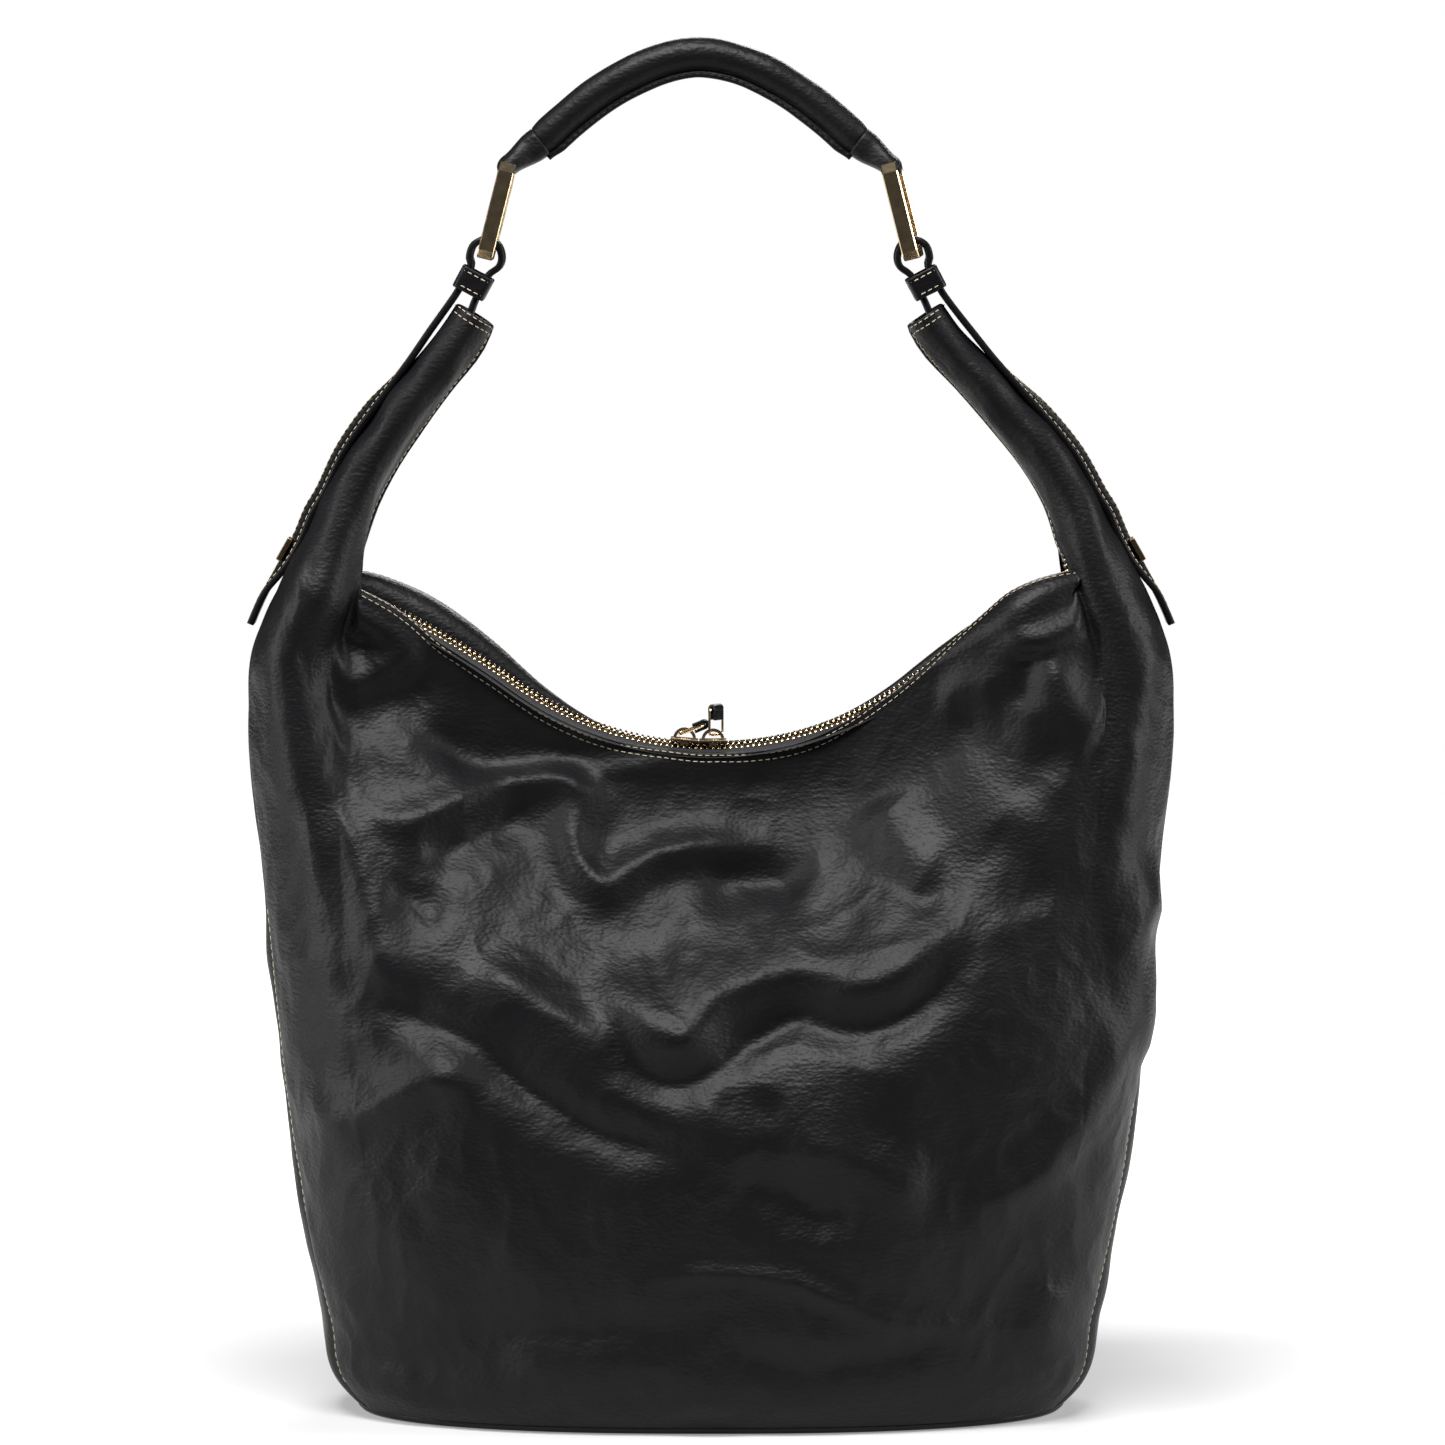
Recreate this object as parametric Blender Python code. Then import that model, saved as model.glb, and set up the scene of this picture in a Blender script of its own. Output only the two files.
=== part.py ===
"""Hobo bag: leather panels on a flat base, two leather horns, gold links, a rolled handle and a two-way zip.

Metres, +Z up, +X to the wearer's right of the front. The origin is the middle of the base's underside.
"""
from math import atan2, cos, pi, radians, sin, sqrt, tan

import bmesh
import bpy
from mathutils import Matrix, Vector

# ---------------------------------------------------------------- driving dimensions
GAP = 0.0003                  # air kept between two pieces that touch
LEATHER = 0.0016              # wall of the body panels
SIDES = (("left", -1), ("right", 1))

BASE_TOP = 0.0025             # thickness of the base panel
BOARD_THICKNESS = 0.0015
SHOULDER_Z = 0.330            # open top of the two shoulders
SEAM_ANGLE = radians(66)      # where the side gussets meet the front and back panels
SQUARENESS = 0.8              # power of the body's rounded section
HALF_WIDTH = (                # height, half width of the body
    (0.000, 0.1400), (0.010, 0.1495), (0.040, 0.1565), (0.100, 0.1680), (0.160, 0.1750),
    (0.220, 0.1805), (0.280, 0.1865), (0.305, 0.1835), (0.321, 0.1755), (0.330, 0.1695))
HALF_DEPTH = (                # share of the panel's height, half depth of the body
    (0.00, 0.068), (0.04, 0.0745), (0.20, 0.080), (0.50, 0.079), (0.80, 0.070), (1.00, 0.060))
MOUTH_HALF = 0.0120           # the panels' top edges stand this far from the zip's middle
SHOULDER_HALF = 0.0260        # and this far apart at the shoulders

ZIP_RADIUS = 0.135            # the zip hangs in an arc between two runs that level out
ZIP_CENTRE_Z = 0.401
ZIP_ARC = radians(36)
ZIP_EASE = 2.6                # how fast the outer runs level out, per metre
ZIP_END_X = 0.1285
TEETH_HALF_WIDTH = 0.0028
TEETH_GAP = 0.0007
TAPE_HALF_WIDTH = 0.0098
SLIDER_MEET_X = -0.0050       # where the two sliders meet when the zip is shut
SLIDER_LENGTH = 0.0110
SLIDER_WIDTH = 0.0080
PLATE_LOW, PLATE_HIGH = 0.0017, 0.0029
BAIL_SPAN, BAIL_RISE = 0.0040, 0.0040
BAIL_WIRE = 0.0012
RING_WIRE = 0.0005            # radius of a pull ring's wire
RING_LENGTH = 0.0105
RING_HALF_WIDTH = 0.0042
LEFT_PULL_SLOPE = radians(22)
RIGHT_PULL_TURN = radians(38)
PULL_SHIFTS = (-0.0020, 0.0012)   # where along the bails the left and the right ring hang

LEAN = -0.0045                # the upper parts stand this far to the left of the middle
LEAN_FROM, LEAN_TO = 0.36, 0.45
LINK_LOW = (0.0850, 0.4620)   # lower and upper bars of a link, on the right-hand side
LINK_HIGH = (0.0760, 0.4975)
LINK_HALF_DEPTH = 0.0140
LINK_BAR = 0.0026             # thickness of a link's bars
LINK_BAND = 0.0064            # their width
LINK_CHAMFER = 0.0035
RIGHT_LINK_YAW = radians(6)
STRAP_THICKNESS = 0.0024
STRAP_HALF_WIDTH = 0.0090
HORN_WALL = 0.0018
HORN = (                      # x, height, half thickness, half depth of the right-hand horn
    (0.1525, 0.3340, 0.0110, 0.0150), (0.1500, 0.3477, 0.0105, 0.0150), (0.1435, 0.3650, 0.0090, 0.0150),
    (0.1340, 0.3818, 0.0083, 0.0145), (0.1220, 0.3980, 0.0080, 0.0140), (0.1084, 0.4146, 0.0074, 0.0135),
    (0.0962, 0.4288, 0.0078, 0.0130))
HORN_RIM = ((0.0848, 0.4312), (0.0958, 0.4442), 0.0125)
STRAP_ROUTE = (
    (0.0935, 0.4340), (0.0912, 0.4395), (0.0889, 0.4450), (0.0842, 0.4538),
    (0.0797, 0.4575), (0.0786, 0.4617), (0.0804, 0.4664), (0.0850, 0.4684),
    (0.0896, 0.4664), (0.0914, 0.4617), (0.0910, 0.4574), (0.0957, 0.4486),
    (0.0995, 0.4430), (0.1074, 0.4325), (0.1196, 0.4165), (0.1344, 0.4005),
    (0.1466, 0.3845), (0.1552, 0.3682), (0.1600, 0.3602), (0.1648, 0.3490),
    (0.1708, 0.3385), (0.1776, 0.3285), (0.1815, 0.3205), (0.1836, 0.3155))
STUD_STRETCH = 19             # the stud sits on the strap half way along this stretch of its route
KEEPER_PLACE = (0.0899, 0.4512)
KEEPER_AXIS = (0.47, -0.88)
KEEPER_HALF = 0.0068          # half size across the two legs of the strap
KEEPER_HEIGHT = 0.0095
KEEPER_WALL = 0.0014
STUD_SIZE = (0.0100, 0.0100, 0.0022)

HANDLE_TOP_Z = 0.5420         # middle of the roll at its crown
HANDLE_DROP = 0.0415
HANDLE_SPAN = 0.0700
HANDLE_POWER = 1.8
HANDLE_RADIUS = 0.0066
CORE_RADIUS = 0.0044
HANDLE_END = 0.93             # the roll stops at this share of its span
FLANGE_DROP = 0.0030          # the sewn flange stands this far below the roll


# ---------------------------------------------------------------- helpers
def clear_scene():
    for item in list(bpy.data.objects):
        bpy.data.objects.remove(item)


def make_material(name, colour, roughness, metallic=0.0):
    material = bpy.data.materials.new(name)
    material.use_nodes = True
    shader = material.node_tree.nodes["Principled BSDF"]
    shader.inputs["Base Color"].default_value = (*colour, 1.0)
    shader.inputs["Roughness"].default_value = roughness
    shader.inputs["Metallic"].default_value = metallic
    return material


def ramp(value, start, end):
    """Smooth rise from 0 at start to 1 at end."""
    share = min(max((value - start) / (end - start), 0.0), 1.0)
    return share * share * (3 - 2 * share)


def read_curve(knots, where):
    """Value of a smooth curve through (place, value) knots."""
    if where <= knots[0][0]:
        return knots[0][1]
    if where >= knots[-1][0]:
        return knots[-1][1]
    index = max(i for i in range(len(knots) - 1) if knots[i][0] <= where)
    (x0, y0), (x1, y1) = knots[index], knots[index + 1]

    def slope(i):
        low, high = knots[max(i - 1, 0)], knots[min(i + 1, len(knots) - 1)]
        return (high[1] - low[1]) / (high[0] - low[0])

    step = x1 - x0
    t = (where - x0) / step
    start_part = (1 + 2 * t) * (1 - t) ** 2 * y0 + t * (1 - t) ** 2 * step * slope(index)
    end_part = t * t * (3 - 2 * t) * y1 + t * t * (t - 1) * step * slope(index + 1)
    return start_part + end_part


def smooth_path(points, steps):
    """Catmull-Rom curve through points of any dimension, with steps pieces between neighbours."""
    result = []
    last = len(points) - 1
    for i in range(last):
        before, start = points[max(i - 1, 0)], points[i]
        end, after = points[i + 1], points[min(i + 2, last)]
        for k in range(steps):
            t = k / steps
            result.append(tuple(
                0.5 * (2 * b + (c - a) * t + (2 * a - 5 * b + 4 * c - d) * t * t
                       + (3 * b - a - 3 * c + d) * t ** 3)
                for a, b, c, d in zip(before, start, end, after)))
    result.append(tuple(points[-1]))
    return result


def lean(z):
    return LEAN * ramp(z, LEAN_FROM, LEAN_TO)


def carry_point(side, x, z, y=0.0):
    """World place of a point on the upper parts, from its right-hand side value."""
    return Vector((side * x + lean(z), y, z))


def add_mesh(name, build, material, solid=True):
    """Make an object from a bmesh that build fills; a solid one gets its faces turned outwards."""
    mesh = bpy.data.meshes.new(name)
    shape = bmesh.new()
    build(shape)
    if solid:
        bmesh.ops.recalc_face_normals(shape, faces=shape.faces)
        if shape.calc_volume(signed=True) < 0:
            bmesh.ops.reverse_faces(shape, faces=shape.faces)
    shape.to_mesh(mesh)
    shape.free()
    mesh.materials.append(material)
    mesh.shade_smooth()
    mesh.set_sharp_from_angle(angle=radians(35))
    item = bpy.data.objects.new(name, mesh)
    bpy.context.collection.objects.link(item)
    return item


def set_origin(item, place):
    """Put an object's origin on its joint's axis without moving its shape."""
    item.data.transform(Matrix.Translation(-Vector(place)))
    item.location = place


def skin_rings(shape, rings, closed, caps=False):
    """Bridge rows of points into a grid of quads."""
    rows = [[shape.verts.new(point) for point in ring] for ring in rings]
    count = len(rows[0])
    for low, high in zip(rows, rows[1:]):
        for i in range(count if closed else count - 1):
            j = (i + 1) % count
            shape.faces.new((low[i], low[j], high[j], high[i]))
    if caps:
        shape.faces.new(rows[0])
        shape.faces.new(reversed(rows[-1]))
    return rows


def add_wall(item, thickness):
    """Give an open sheet its thickness, towards its inner side."""
    wall = item.modifiers.new("wall", "SOLIDIFY")
    wall.thickness = thickness
    wall.offset = -1
    wall.use_even_offset = True


def ribbon(name, path, thickness, y_low, y_high, material, closed=False):
    """A flat strip that follows a path in the XZ plane and runs from y_low to y_high."""
    def build(shape):
        count = len(path)
        pairs = []
        for i, (x, z) in enumerate(path):
            before = path[(i - 1) % count] if closed or i else path[0]
            after = path[(i + 1) % count] if closed or i < count - 1 else path[-1]
            run = Vector((after[0] - before[0], after[1] - before[1])).normalized()
            side = Vector((-run.y, run.x)) * thickness / 2
            pairs.append((shape.verts.new((x + side.x, y_low, z + side.y)),
                          shape.verts.new((x - side.x, y_low, z - side.y))))
        for i in range(count if closed else count - 1):
            (a, b), (c, d) = pairs[i], pairs[(i + 1) % count]
            shape.faces.new((a, b, d, c))
        moved = bmesh.ops.extrude_face_region(shape, geom=list(shape.faces))
        points = [part for part in moved["geom"] if isinstance(part, bmesh.types.BMVert)]
        bmesh.ops.translate(shape, verts=points, vec=(0, y_high - y_low, 0))
    return add_mesh(name, build, material)


def rounded_outline(half_a, half_b, corner):
    """A rectangle with round corners, as points about its middle."""
    points = []
    for sign_a, sign_b, start in ((1, 1, 0), (-1, 1, 90), (-1, -1, 180), (1, -1, 270)):
        for step in (0, 30, 60, 90):
            angle = radians(start + step)
            points.append((sign_a * (half_a - corner) + corner * cos(angle),
                           sign_b * (half_b - corner) + corner * sin(angle)))
    return points


def join_solids(item, others):
    """Union the other solids into item."""
    for other in others:
        other.hide_render = True
        other.display_type = "WIRE"
        union = item.modifiers.new("join", "BOOLEAN")
        union.operation = "UNION"
        union.object = other


def box(name, low, high, material, bevel=0.0):
    """A box between two corners, with rounded edges where bevel is given."""
    def build(shape):
        bmesh.ops.create_cube(shape, size=1.0)
        size = Vector(high) - Vector(low)
        bmesh.ops.scale(shape, vec=size, verts=shape.verts)
        bmesh.ops.translate(shape, vec=(Vector(low) + Vector(high)) / 2, verts=shape.verts)
        if bevel:
            bmesh.ops.bevel(shape, geom=list(shape.edges), offset=bevel, segments=2, profile=0.5,
                            affect="EDGES", material=-1)
    return add_mesh(name, build, material)


# ---------------------------------------------------------------- body
def zip_height(x):
    """Height of the zip's middle at x."""
    corner = ZIP_RADIUS * sin(ZIP_ARC)
    if abs(x) <= corner:
        return ZIP_CENTRE_Z - sqrt(ZIP_RADIUS ** 2 - x * x)
    run = abs(x) - corner
    return ZIP_CENTRE_Z - ZIP_RADIUS * cos(ZIP_ARC) + run * tan(ZIP_ARC) - ZIP_EASE * run * run


def body_point(angle, share, low, inset=0.0, drop=0.0):
    """A point on the body: angle 0 is the middle of the front, share 0 its foot and 1 its top edge."""
    across = abs(sin(angle)) ** SQUARENESS
    top = zip_height(0.0)
    for _ in range(6):
        top = min(zip_height(read_curve(HALF_WIDTH, top) * across), SHOULDER_Z)
    z = low + (top - drop - low) * share
    half_width = read_curve(HALF_WIDTH, z) - inset
    full = read_curve(HALF_DEPTH, z / top) * abs(cos(angle)) ** SQUARENESS
    x_top = read_curve(HALF_WIDTH, top) * across
    rim = MOUTH_HALF + (SHOULDER_HALF - MOUTH_HALF) * ramp(x_top, 0.105, 0.145)
    rim *= sqrt(max(1 - across ** 8, 0.0))
    depth = full + (rim - full) * ramp(z / top, 0.45, 1.0)
    depth = max(depth - inset * min(1.0, depth / 0.010), 0.0)
    return Vector((half_width * across * (1 if sin(angle) >= 0 else -1),
                   -depth if cos(angle) >= 0 else depth, z))


def body_sheet(name, start, end, columns, material, rows=14):
    """One leather panel between two seam angles."""
    low = BASE_TOP + GAP
    angles = [start + (end - start) * i / columns for i in range(columns + 1)]

    def build(shape):
        skin_rings(shape, [[body_point(a, k / rows, low) for a in angles] for k in range(rows + 1)], False)
    item = add_mesh(name, build, material, solid=False)
    add_wall(item, LEATHER)
    return item


def base_plate(name, low, high, inset, material):
    """A flat plate with the outline of the body's foot."""
    count = 48

    def build(shape):
        outline = [body_point(2 * pi * i / count, 0, 0.0, inset) for i in range(count)]
        rings = [[Vector((p.x, p.y, z)) for p in outline] for z in (low, high)]
        skin_rings(shape, rings, True, caps=True)
    return add_mesh(name, build, material)


def lining_bag(material):
    """The lining: a thin bag inside the leather, open along the zip."""
    inset, wall, drop, rows, count = 0.0045, 0.0006, 0.016, 10, 44
    low = BASE_TOP + BOARD_THICKNESS + 3 * GAP

    def build(shape):
        angles = [2 * pi * i / count for i in range(count)]
        rings = [[body_point(a, k / rows, low, inset, drop) for a in angles] for k in range(rows + 1)]
        grid = skin_rings(shape, rings, True)
        shape.faces.new(reversed(grid[0]))
    item = add_mesh("lining", build, material, solid=False)
    add_wall(item, wall)


def make_body(leather, lining, board):
    seam = radians(0.35)
    body_sheet("front_panel", -SEAM_ANGLE, SEAM_ANGLE, 24, leather)
    body_sheet("back_panel", pi - SEAM_ANGLE, pi + SEAM_ANGLE, 24, leather)
    for name, side in SIDES:
        middle = side * pi / 2
        reach = pi / 2 - SEAM_ANGLE - seam
        body_sheet("gusset_" + name, middle - reach, middle + reach, 8, leather)
    base_plate("base_panel", 0.0, BASE_TOP, 0.0, leather)
    base_plate("base_board", BASE_TOP + GAP, BASE_TOP + GAP + BOARD_THICKNESS, 0.0050, board)
    lining_bag(lining)


# ---------------------------------------------------------------- zip
def zip_path(reach, pieces, lift=0.0):
    return [(x, zip_height(x) + lift) for x in (reach * (2 * i / pieces - 1) for i in range(pieces + 1))]


def zip_frame(x):
    """Turn and place that lay a shape drawn along +X on the zip at x."""
    step = 0.0005
    slope = atan2(zip_height(x + step) - zip_height(x - step), 2 * step)
    return Matrix.Translation((x, 0, zip_height(x))) @ Matrix.Rotation(-slope, 4, "Y")


def make_zip(tape, metal):
    for name, side in (("front", -1), ("back", 1)):
        inner, outer = TEETH_HALF_WIDTH + GAP, TAPE_HALF_WIDTH
        edges = sorted((side * inner, side * outer))
        ribbon("zip_tape_" + name, zip_path(ZIP_END_X, 36), 0.0008, *edges, tape)
        inner, outer = TEETH_GAP, TEETH_HALF_WIDTH
        reach = ZIP_END_X - 0.004
        ribbon("zip_teeth_" + name, zip_path(reach, 36), 0.0024, *sorted((side * inner, side * outer)), metal)
    for name, side in SIDES:
        stop = box("zip_stop_" + name, (-0.0012, -0.0026, -0.0014), (0.0012, 0.0026, 0.0014), metal, 0.0004)
        stop.data.transform(zip_frame(side * (ZIP_END_X - 0.0016)))


def arch(name, span, rise, wire, half_width, material):
    """A flat-sided bail: half an oval standing on its two feet."""
    points = [(-span * cos(pi * i / 12), rise * sin(pi * i / 12)) for i in range(13)]
    return ribbon(name, points, wire, -half_width, half_width, material)


def make_slider(name, x, metal):
    """Slider with its top and bottom plates, the post between them and the bail on top."""
    half, wide = SLIDER_LENGTH / 2, SLIDER_WIDTH / 2
    slider = box("slider_" + name, (-half, -wide, PLATE_LOW), (half, wide, PLATE_HIGH), metal, 0.0004)
    foot = box("slider_foot_" + name, (-half, -wide, -PLATE_HIGH), (half, wide, -PLATE_LOW), metal, 0.0004)
    post = box("slider_post_" + name, (-0.0015, -0.0003, -0.0022), (0.0015, 0.0003, 0.0022), metal)
    bail = arch("slider_bail_" + name, BAIL_SPAN, BAIL_RISE, BAIL_WIRE, 0.0008, metal)
    bail.data.transform(Matrix.Translation((0, 0, PLATE_HIGH - 0.0004)))
    centre = Matrix.Translation((0, 0, -ZIP_CENTRE_Z))
    for item in (slider, foot, post, bail):
        item.data.transform(centre @ zip_frame(x))
        item.location = (0, 0, ZIP_CENTRE_Z)
    join_solids(slider, (foot, post, bail))


def pull_seat(x, shift):
    """Where a pull ring's lower bar lies inside the bail, shift along it."""
    arch_height = BAIL_RISE * sqrt(1 - (shift / BAIL_SPAN) ** 2)
    return zip_frame(x) @ Vector((shift, 0.0, PLATE_HIGH + arch_height - BAIL_WIRE / 2 - RING_WIRE - 0.0010))


def make_pull(name, x, shift, turn, metal, leather):
    """Stirrup ring through the bail, and the leather tab looped over its far bar."""
    seat = pull_seat(x, shift)
    place = Matrix.Translation(seat) @ turn
    far = RING_LENGTH
    route = [Vector((0.0, y, z + far / 2)) for y, z in rounded_outline(RING_HALF_WIDTH, far / 2, 0.0012)]

    def build_ring(shape):
        rings = []
        count = len(route)
        for i, point in enumerate(route):
            run = (route[(i + 1) % count] - route[i - 1]).normalized()
            out = run.cross(Vector((1, 0, 0)))
            rings.append([place @ (point + RING_WIRE * (cos(2 * pi * k / 8) * Vector((1, 0, 0))
                                                         + sin(2 * pi * k / 8) * out)) for k in range(8)])
        skin_rings(shape, rings + rings[:1], True)
        bmesh.ops.remove_doubles(shape, verts=shape.verts, dist=0.00001)
    ring = add_mesh("pull_ring_" + name, build_ring, metal)
    set_origin(ring, seat)
    bend = [(0.0013 * cos(radians(a)), far + 0.0013 * sin(radians(a))) for a in range(-20, 201, 20)]
    legs = [(0.0013, far - 0.0045)] + bend + [(-0.0013, far - 0.0045)]
    tab = ribbon("pull_tab_" + name, legs, 0.0011, -0.0027, 0.0027, leather)
    tab.data.transform(place)
    set_origin(tab, seat)


# ---------------------------------------------------------------- horns, straps, keepers, studs
def make_horn(name, side, leather):
    """Rolled leather tube from the shoulder up to its slanted open tip."""
    stations = smooth_path(HORN, 2)
    count = 20

    def ring(centre, out, half_thickness, half_depth):
        points = []
        for k in range(count):
            angle = 2 * pi * k / count
            x, z = Vector(centre) + out * half_thickness * cos(angle)
            points.append(carry_point(side, x, z, half_depth * sin(angle)))
        return points

    def build(shape):
        rings = []
        for i, (x, z, thick, deep) in enumerate(stations):
            before, after = stations[max(i - 1, 0)], stations[min(i + 1, len(stations) - 1)]
            run = Vector((after[0] - before[0], after[1] - before[1])).normalized()
            rings.append(ring((x, z), Vector((run.y, -run.x)), thick, deep))
        inner, outer, deep = HORN_RIM
        middle = (Vector(inner) + Vector(outer)) / 2
        across = Vector(outer) - Vector(inner)
        rings.append(ring(middle, across.normalized(), across.length / 2, deep))
        skin_rings(shape, rings, True)
        if side < 0:
            bmesh.ops.reverse_faces(shape, faces=shape.faces)
    horn = add_mesh("horn_" + name, build, leather, solid=False)
    add_wall(horn, HORN_WALL)
    return horn


def make_strap(name, side, leather):
    route = smooth_path(STRAP_ROUTE, 2)
    path = [(carry_point(side, x, z).x, z) for x, z in route]
    return ribbon("strap_" + name, path, STRAP_THICKNESS, -STRAP_HALF_WIDTH, STRAP_HALF_WIDTH, leather)


def upright_frame(side, place, axis):
    """Frame at a place on the upper parts whose Z runs along axis."""
    along = Vector((side * axis[0], 0, axis[1])).normalized()
    across = Vector((0, 1, 0)).cross(along)
    turn = Matrix((across, Vector((0, 1, 0)), along)).transposed().to_4x4()
    return Matrix.Translation(carry_point(side, *place)) @ turn


def square_ring(name, half_x, half_y, wall, height, corner, material):
    """A band bent into a rectangle round its Z axis."""
    def build(shape):
        outer = rounded_outline(half_x, half_y, corner)
        inner = rounded_outline(half_x - wall, half_y - wall, max(corner - wall, 0.0004))
        levels = (-height / 2, height / 2)
        rings = [[Vector((x, y, levels[0])) for x, y in outer], [Vector((x, y, levels[1])) for x, y in outer],
                 [Vector((x, y, levels[1])) for x, y in inner], [Vector((x, y, levels[0])) for x, y in inner]]
        skin_rings(shape, rings + rings[:1], True)
        bmesh.ops.remove_doubles(shape, verts=shape.verts, dist=0.00001)
    return add_mesh(name, build, material)


def make_keeper(name, side, leather):
    keeper = square_ring("keeper_" + name, KEEPER_HALF, STRAP_HALF_WIDTH + GAP + KEEPER_WALL, KEEPER_WALL,
                         KEEPER_HEIGHT, 0.0022, leather)
    keeper.data.transform(upright_frame(side, KEEPER_PLACE, KEEPER_AXIS))
    return keeper


def make_stud(name, side, metal):
    """Rectangular plate on the outside of the strap."""
    length, width, thick = STUD_SIZE
    start, end = (Vector(STRAP_ROUTE[STUD_STRETCH + i]) for i in (0, 1))
    run = (end - start).normalized()
    lift = STRAP_THICKNESS / 2 + GAP
    stud = box("stud_" + name, (lift, -width / 2, -length / 2), (lift + thick, width / 2, length / 2), metal,
               0.0004)
    along = Vector((side * run.x, 0, run.y))
    out = Vector((-side * run.y, 0, run.x))
    turn = Matrix((out, along.cross(out), along)).transposed().to_4x4()
    stud.data.transform(Matrix.Translation(carry_point(side, *((start + end) / 2))) @ turn)
    return stud


# ---------------------------------------------------------------- links and handle
def make_link(name, side, metal):
    """Flat-bar frame between the strap's loop and the handle's loop."""
    low, high = (carry_point(side, *place) for place in (LINK_LOW, LINK_HIGH))
    along = (high - low).normalized()
    half_height = (high - low).length / 2 + LINK_BAR / 2

    def outline(y, z, chamfer):
        points = []
        for cy, cz in ((1, 1), (-1, 1), (-1, -1), (1, -1)):
            pair = [(cy * y, cz * (z - chamfer)), (cy * (y - chamfer), cz * z)]
            points.extend(pair if cy * cz > 0 else reversed(pair))
        return points

    def build(shape):
        outer = outline(LINK_HALF_DEPTH, half_height, LINK_CHAMFER)
        inner = outline(LINK_HALF_DEPTH - LINK_BAR, half_height - LINK_BAR, LINK_CHAMFER - LINK_BAR / 2)
        half = LINK_BAND / 2
        rings = [[Vector((x, y, z)) for y, z in loop] for x, loop in
                 ((-half, outer), (half, outer), (half, inner), (-half, inner))]
        skin_rings(shape, rings + rings[:1], True)
        bmesh.ops.remove_doubles(shape, verts=shape.verts, dist=0.00001)
        sharp = [edge for edge in shape.edges if edge.is_manifold and edge.calc_face_angle() > radians(60)]
        bmesh.ops.bevel(shape, geom=sharp, offset=0.0004, segments=1, profile=0.5, affect="EDGES",
                        material=-1)
    link = add_mesh("link_" + name, build, metal)
    turn = Matrix((Vector((0, 1, 0)).cross(along), Vector((0, 1, 0)), along)).transposed().to_4x4()
    yaw = Matrix.Rotation(-RIGHT_LINK_YAW if side > 0 else 0.0, 4, "Z")
    pivot = low if side < 0 else high
    link.data.transform(Matrix.Translation((low + high) / 2 - pivot) @ turn @ yaw)
    link.location = pivot


def handle_path(reach, pieces):
    """Middle of the rolled handle, from its left end to its right end."""
    points = []
    for i in range(pieces + 1):
        share = reach * (2 * i / pieces - 1)
        points.append((HANDLE_SPAN * share + LEAN, HANDLE_TOP_Z - HANDLE_DROP * abs(share) ** HANDLE_POWER))
    return points


def round_bar(path, shape, section, caps):
    """Sweep a section along a path in the XZ plane."""
    rings = []
    for i, (x, z) in enumerate(path):
        before, after = path[max(i - 1, 0)], path[min(i + 1, len(path) - 1)]
        run = Vector((after[0] - before[0], after[1] - before[1])).normalized()
        up = Vector((-run.y, 0, run.x))
        rings.append([Vector((x, 0, z)) + up * high + Vector((0, wide, 0)) for wide, high in section])
    skin_rings(shape, rings, True, caps)


def roll_section(radius, flange):
    """Circle with a flatter flange pulled down from its underside."""
    points = []
    for k in range(16):
        angle = 2 * pi * k / 16
        wide, high = radius * cos(angle), radius * sin(angle)
        drop = flange * max(-sin(angle), 0.0) ** 3
        points.append((wide, high - drop))
    return points


def make_handle(leather, core):
    path = handle_path(HANDLE_END, 28)

    def build_cover(shape):
        round_bar(path, shape, roll_section(HANDLE_RADIUS, FLANGE_DROP), False)

    cover = add_mesh("handle_cover", build_cover, leather, solid=False)
    add_wall(cover, 0.0015)
    rope = add_mesh("handle_core", lambda shape: round_bar(handle_path(HANDLE_END - 0.05, 24), shape,
                                                           roll_section(CORE_RADIUS, 0.0), True), core)
    pivot = carry_point(-1, *LINK_HIGH)
    for item in (cover, rope):
        set_origin(item, pivot)
    for name, side in SIDES:
        bar = carry_point(side, *LINK_HIGH)
        end = Vector(path[0 if side < 0 else -1])
        reach = Vector((end.x - bar.x, end.y - bar.z))
        facing = atan2(reach.y, reach.x)
        radius, half_neck = 0.0060, 0.0016
        opening = radians(62)
        loop = [(bar.x + radius * cos(facing + a), bar.z + radius * sin(facing + a))
                for a in (opening + (2 * pi - 2 * opening) * k / 16 for k in range(17))]
        run = reach.normalized()
        aside = Vector((-run.y, run.x))
        tips = []
        for sign in (1, -1):
            tip = end - run * 0.0008 + aside * half_neck * sign
            tips.append((tip.x, tip.y))
        item = ribbon("handle_loop_" + name, [tips[0]] + loop + [tips[1]], 0.0020, -0.0085, 0.0085, leather)
        set_origin(item, pivot)


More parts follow.
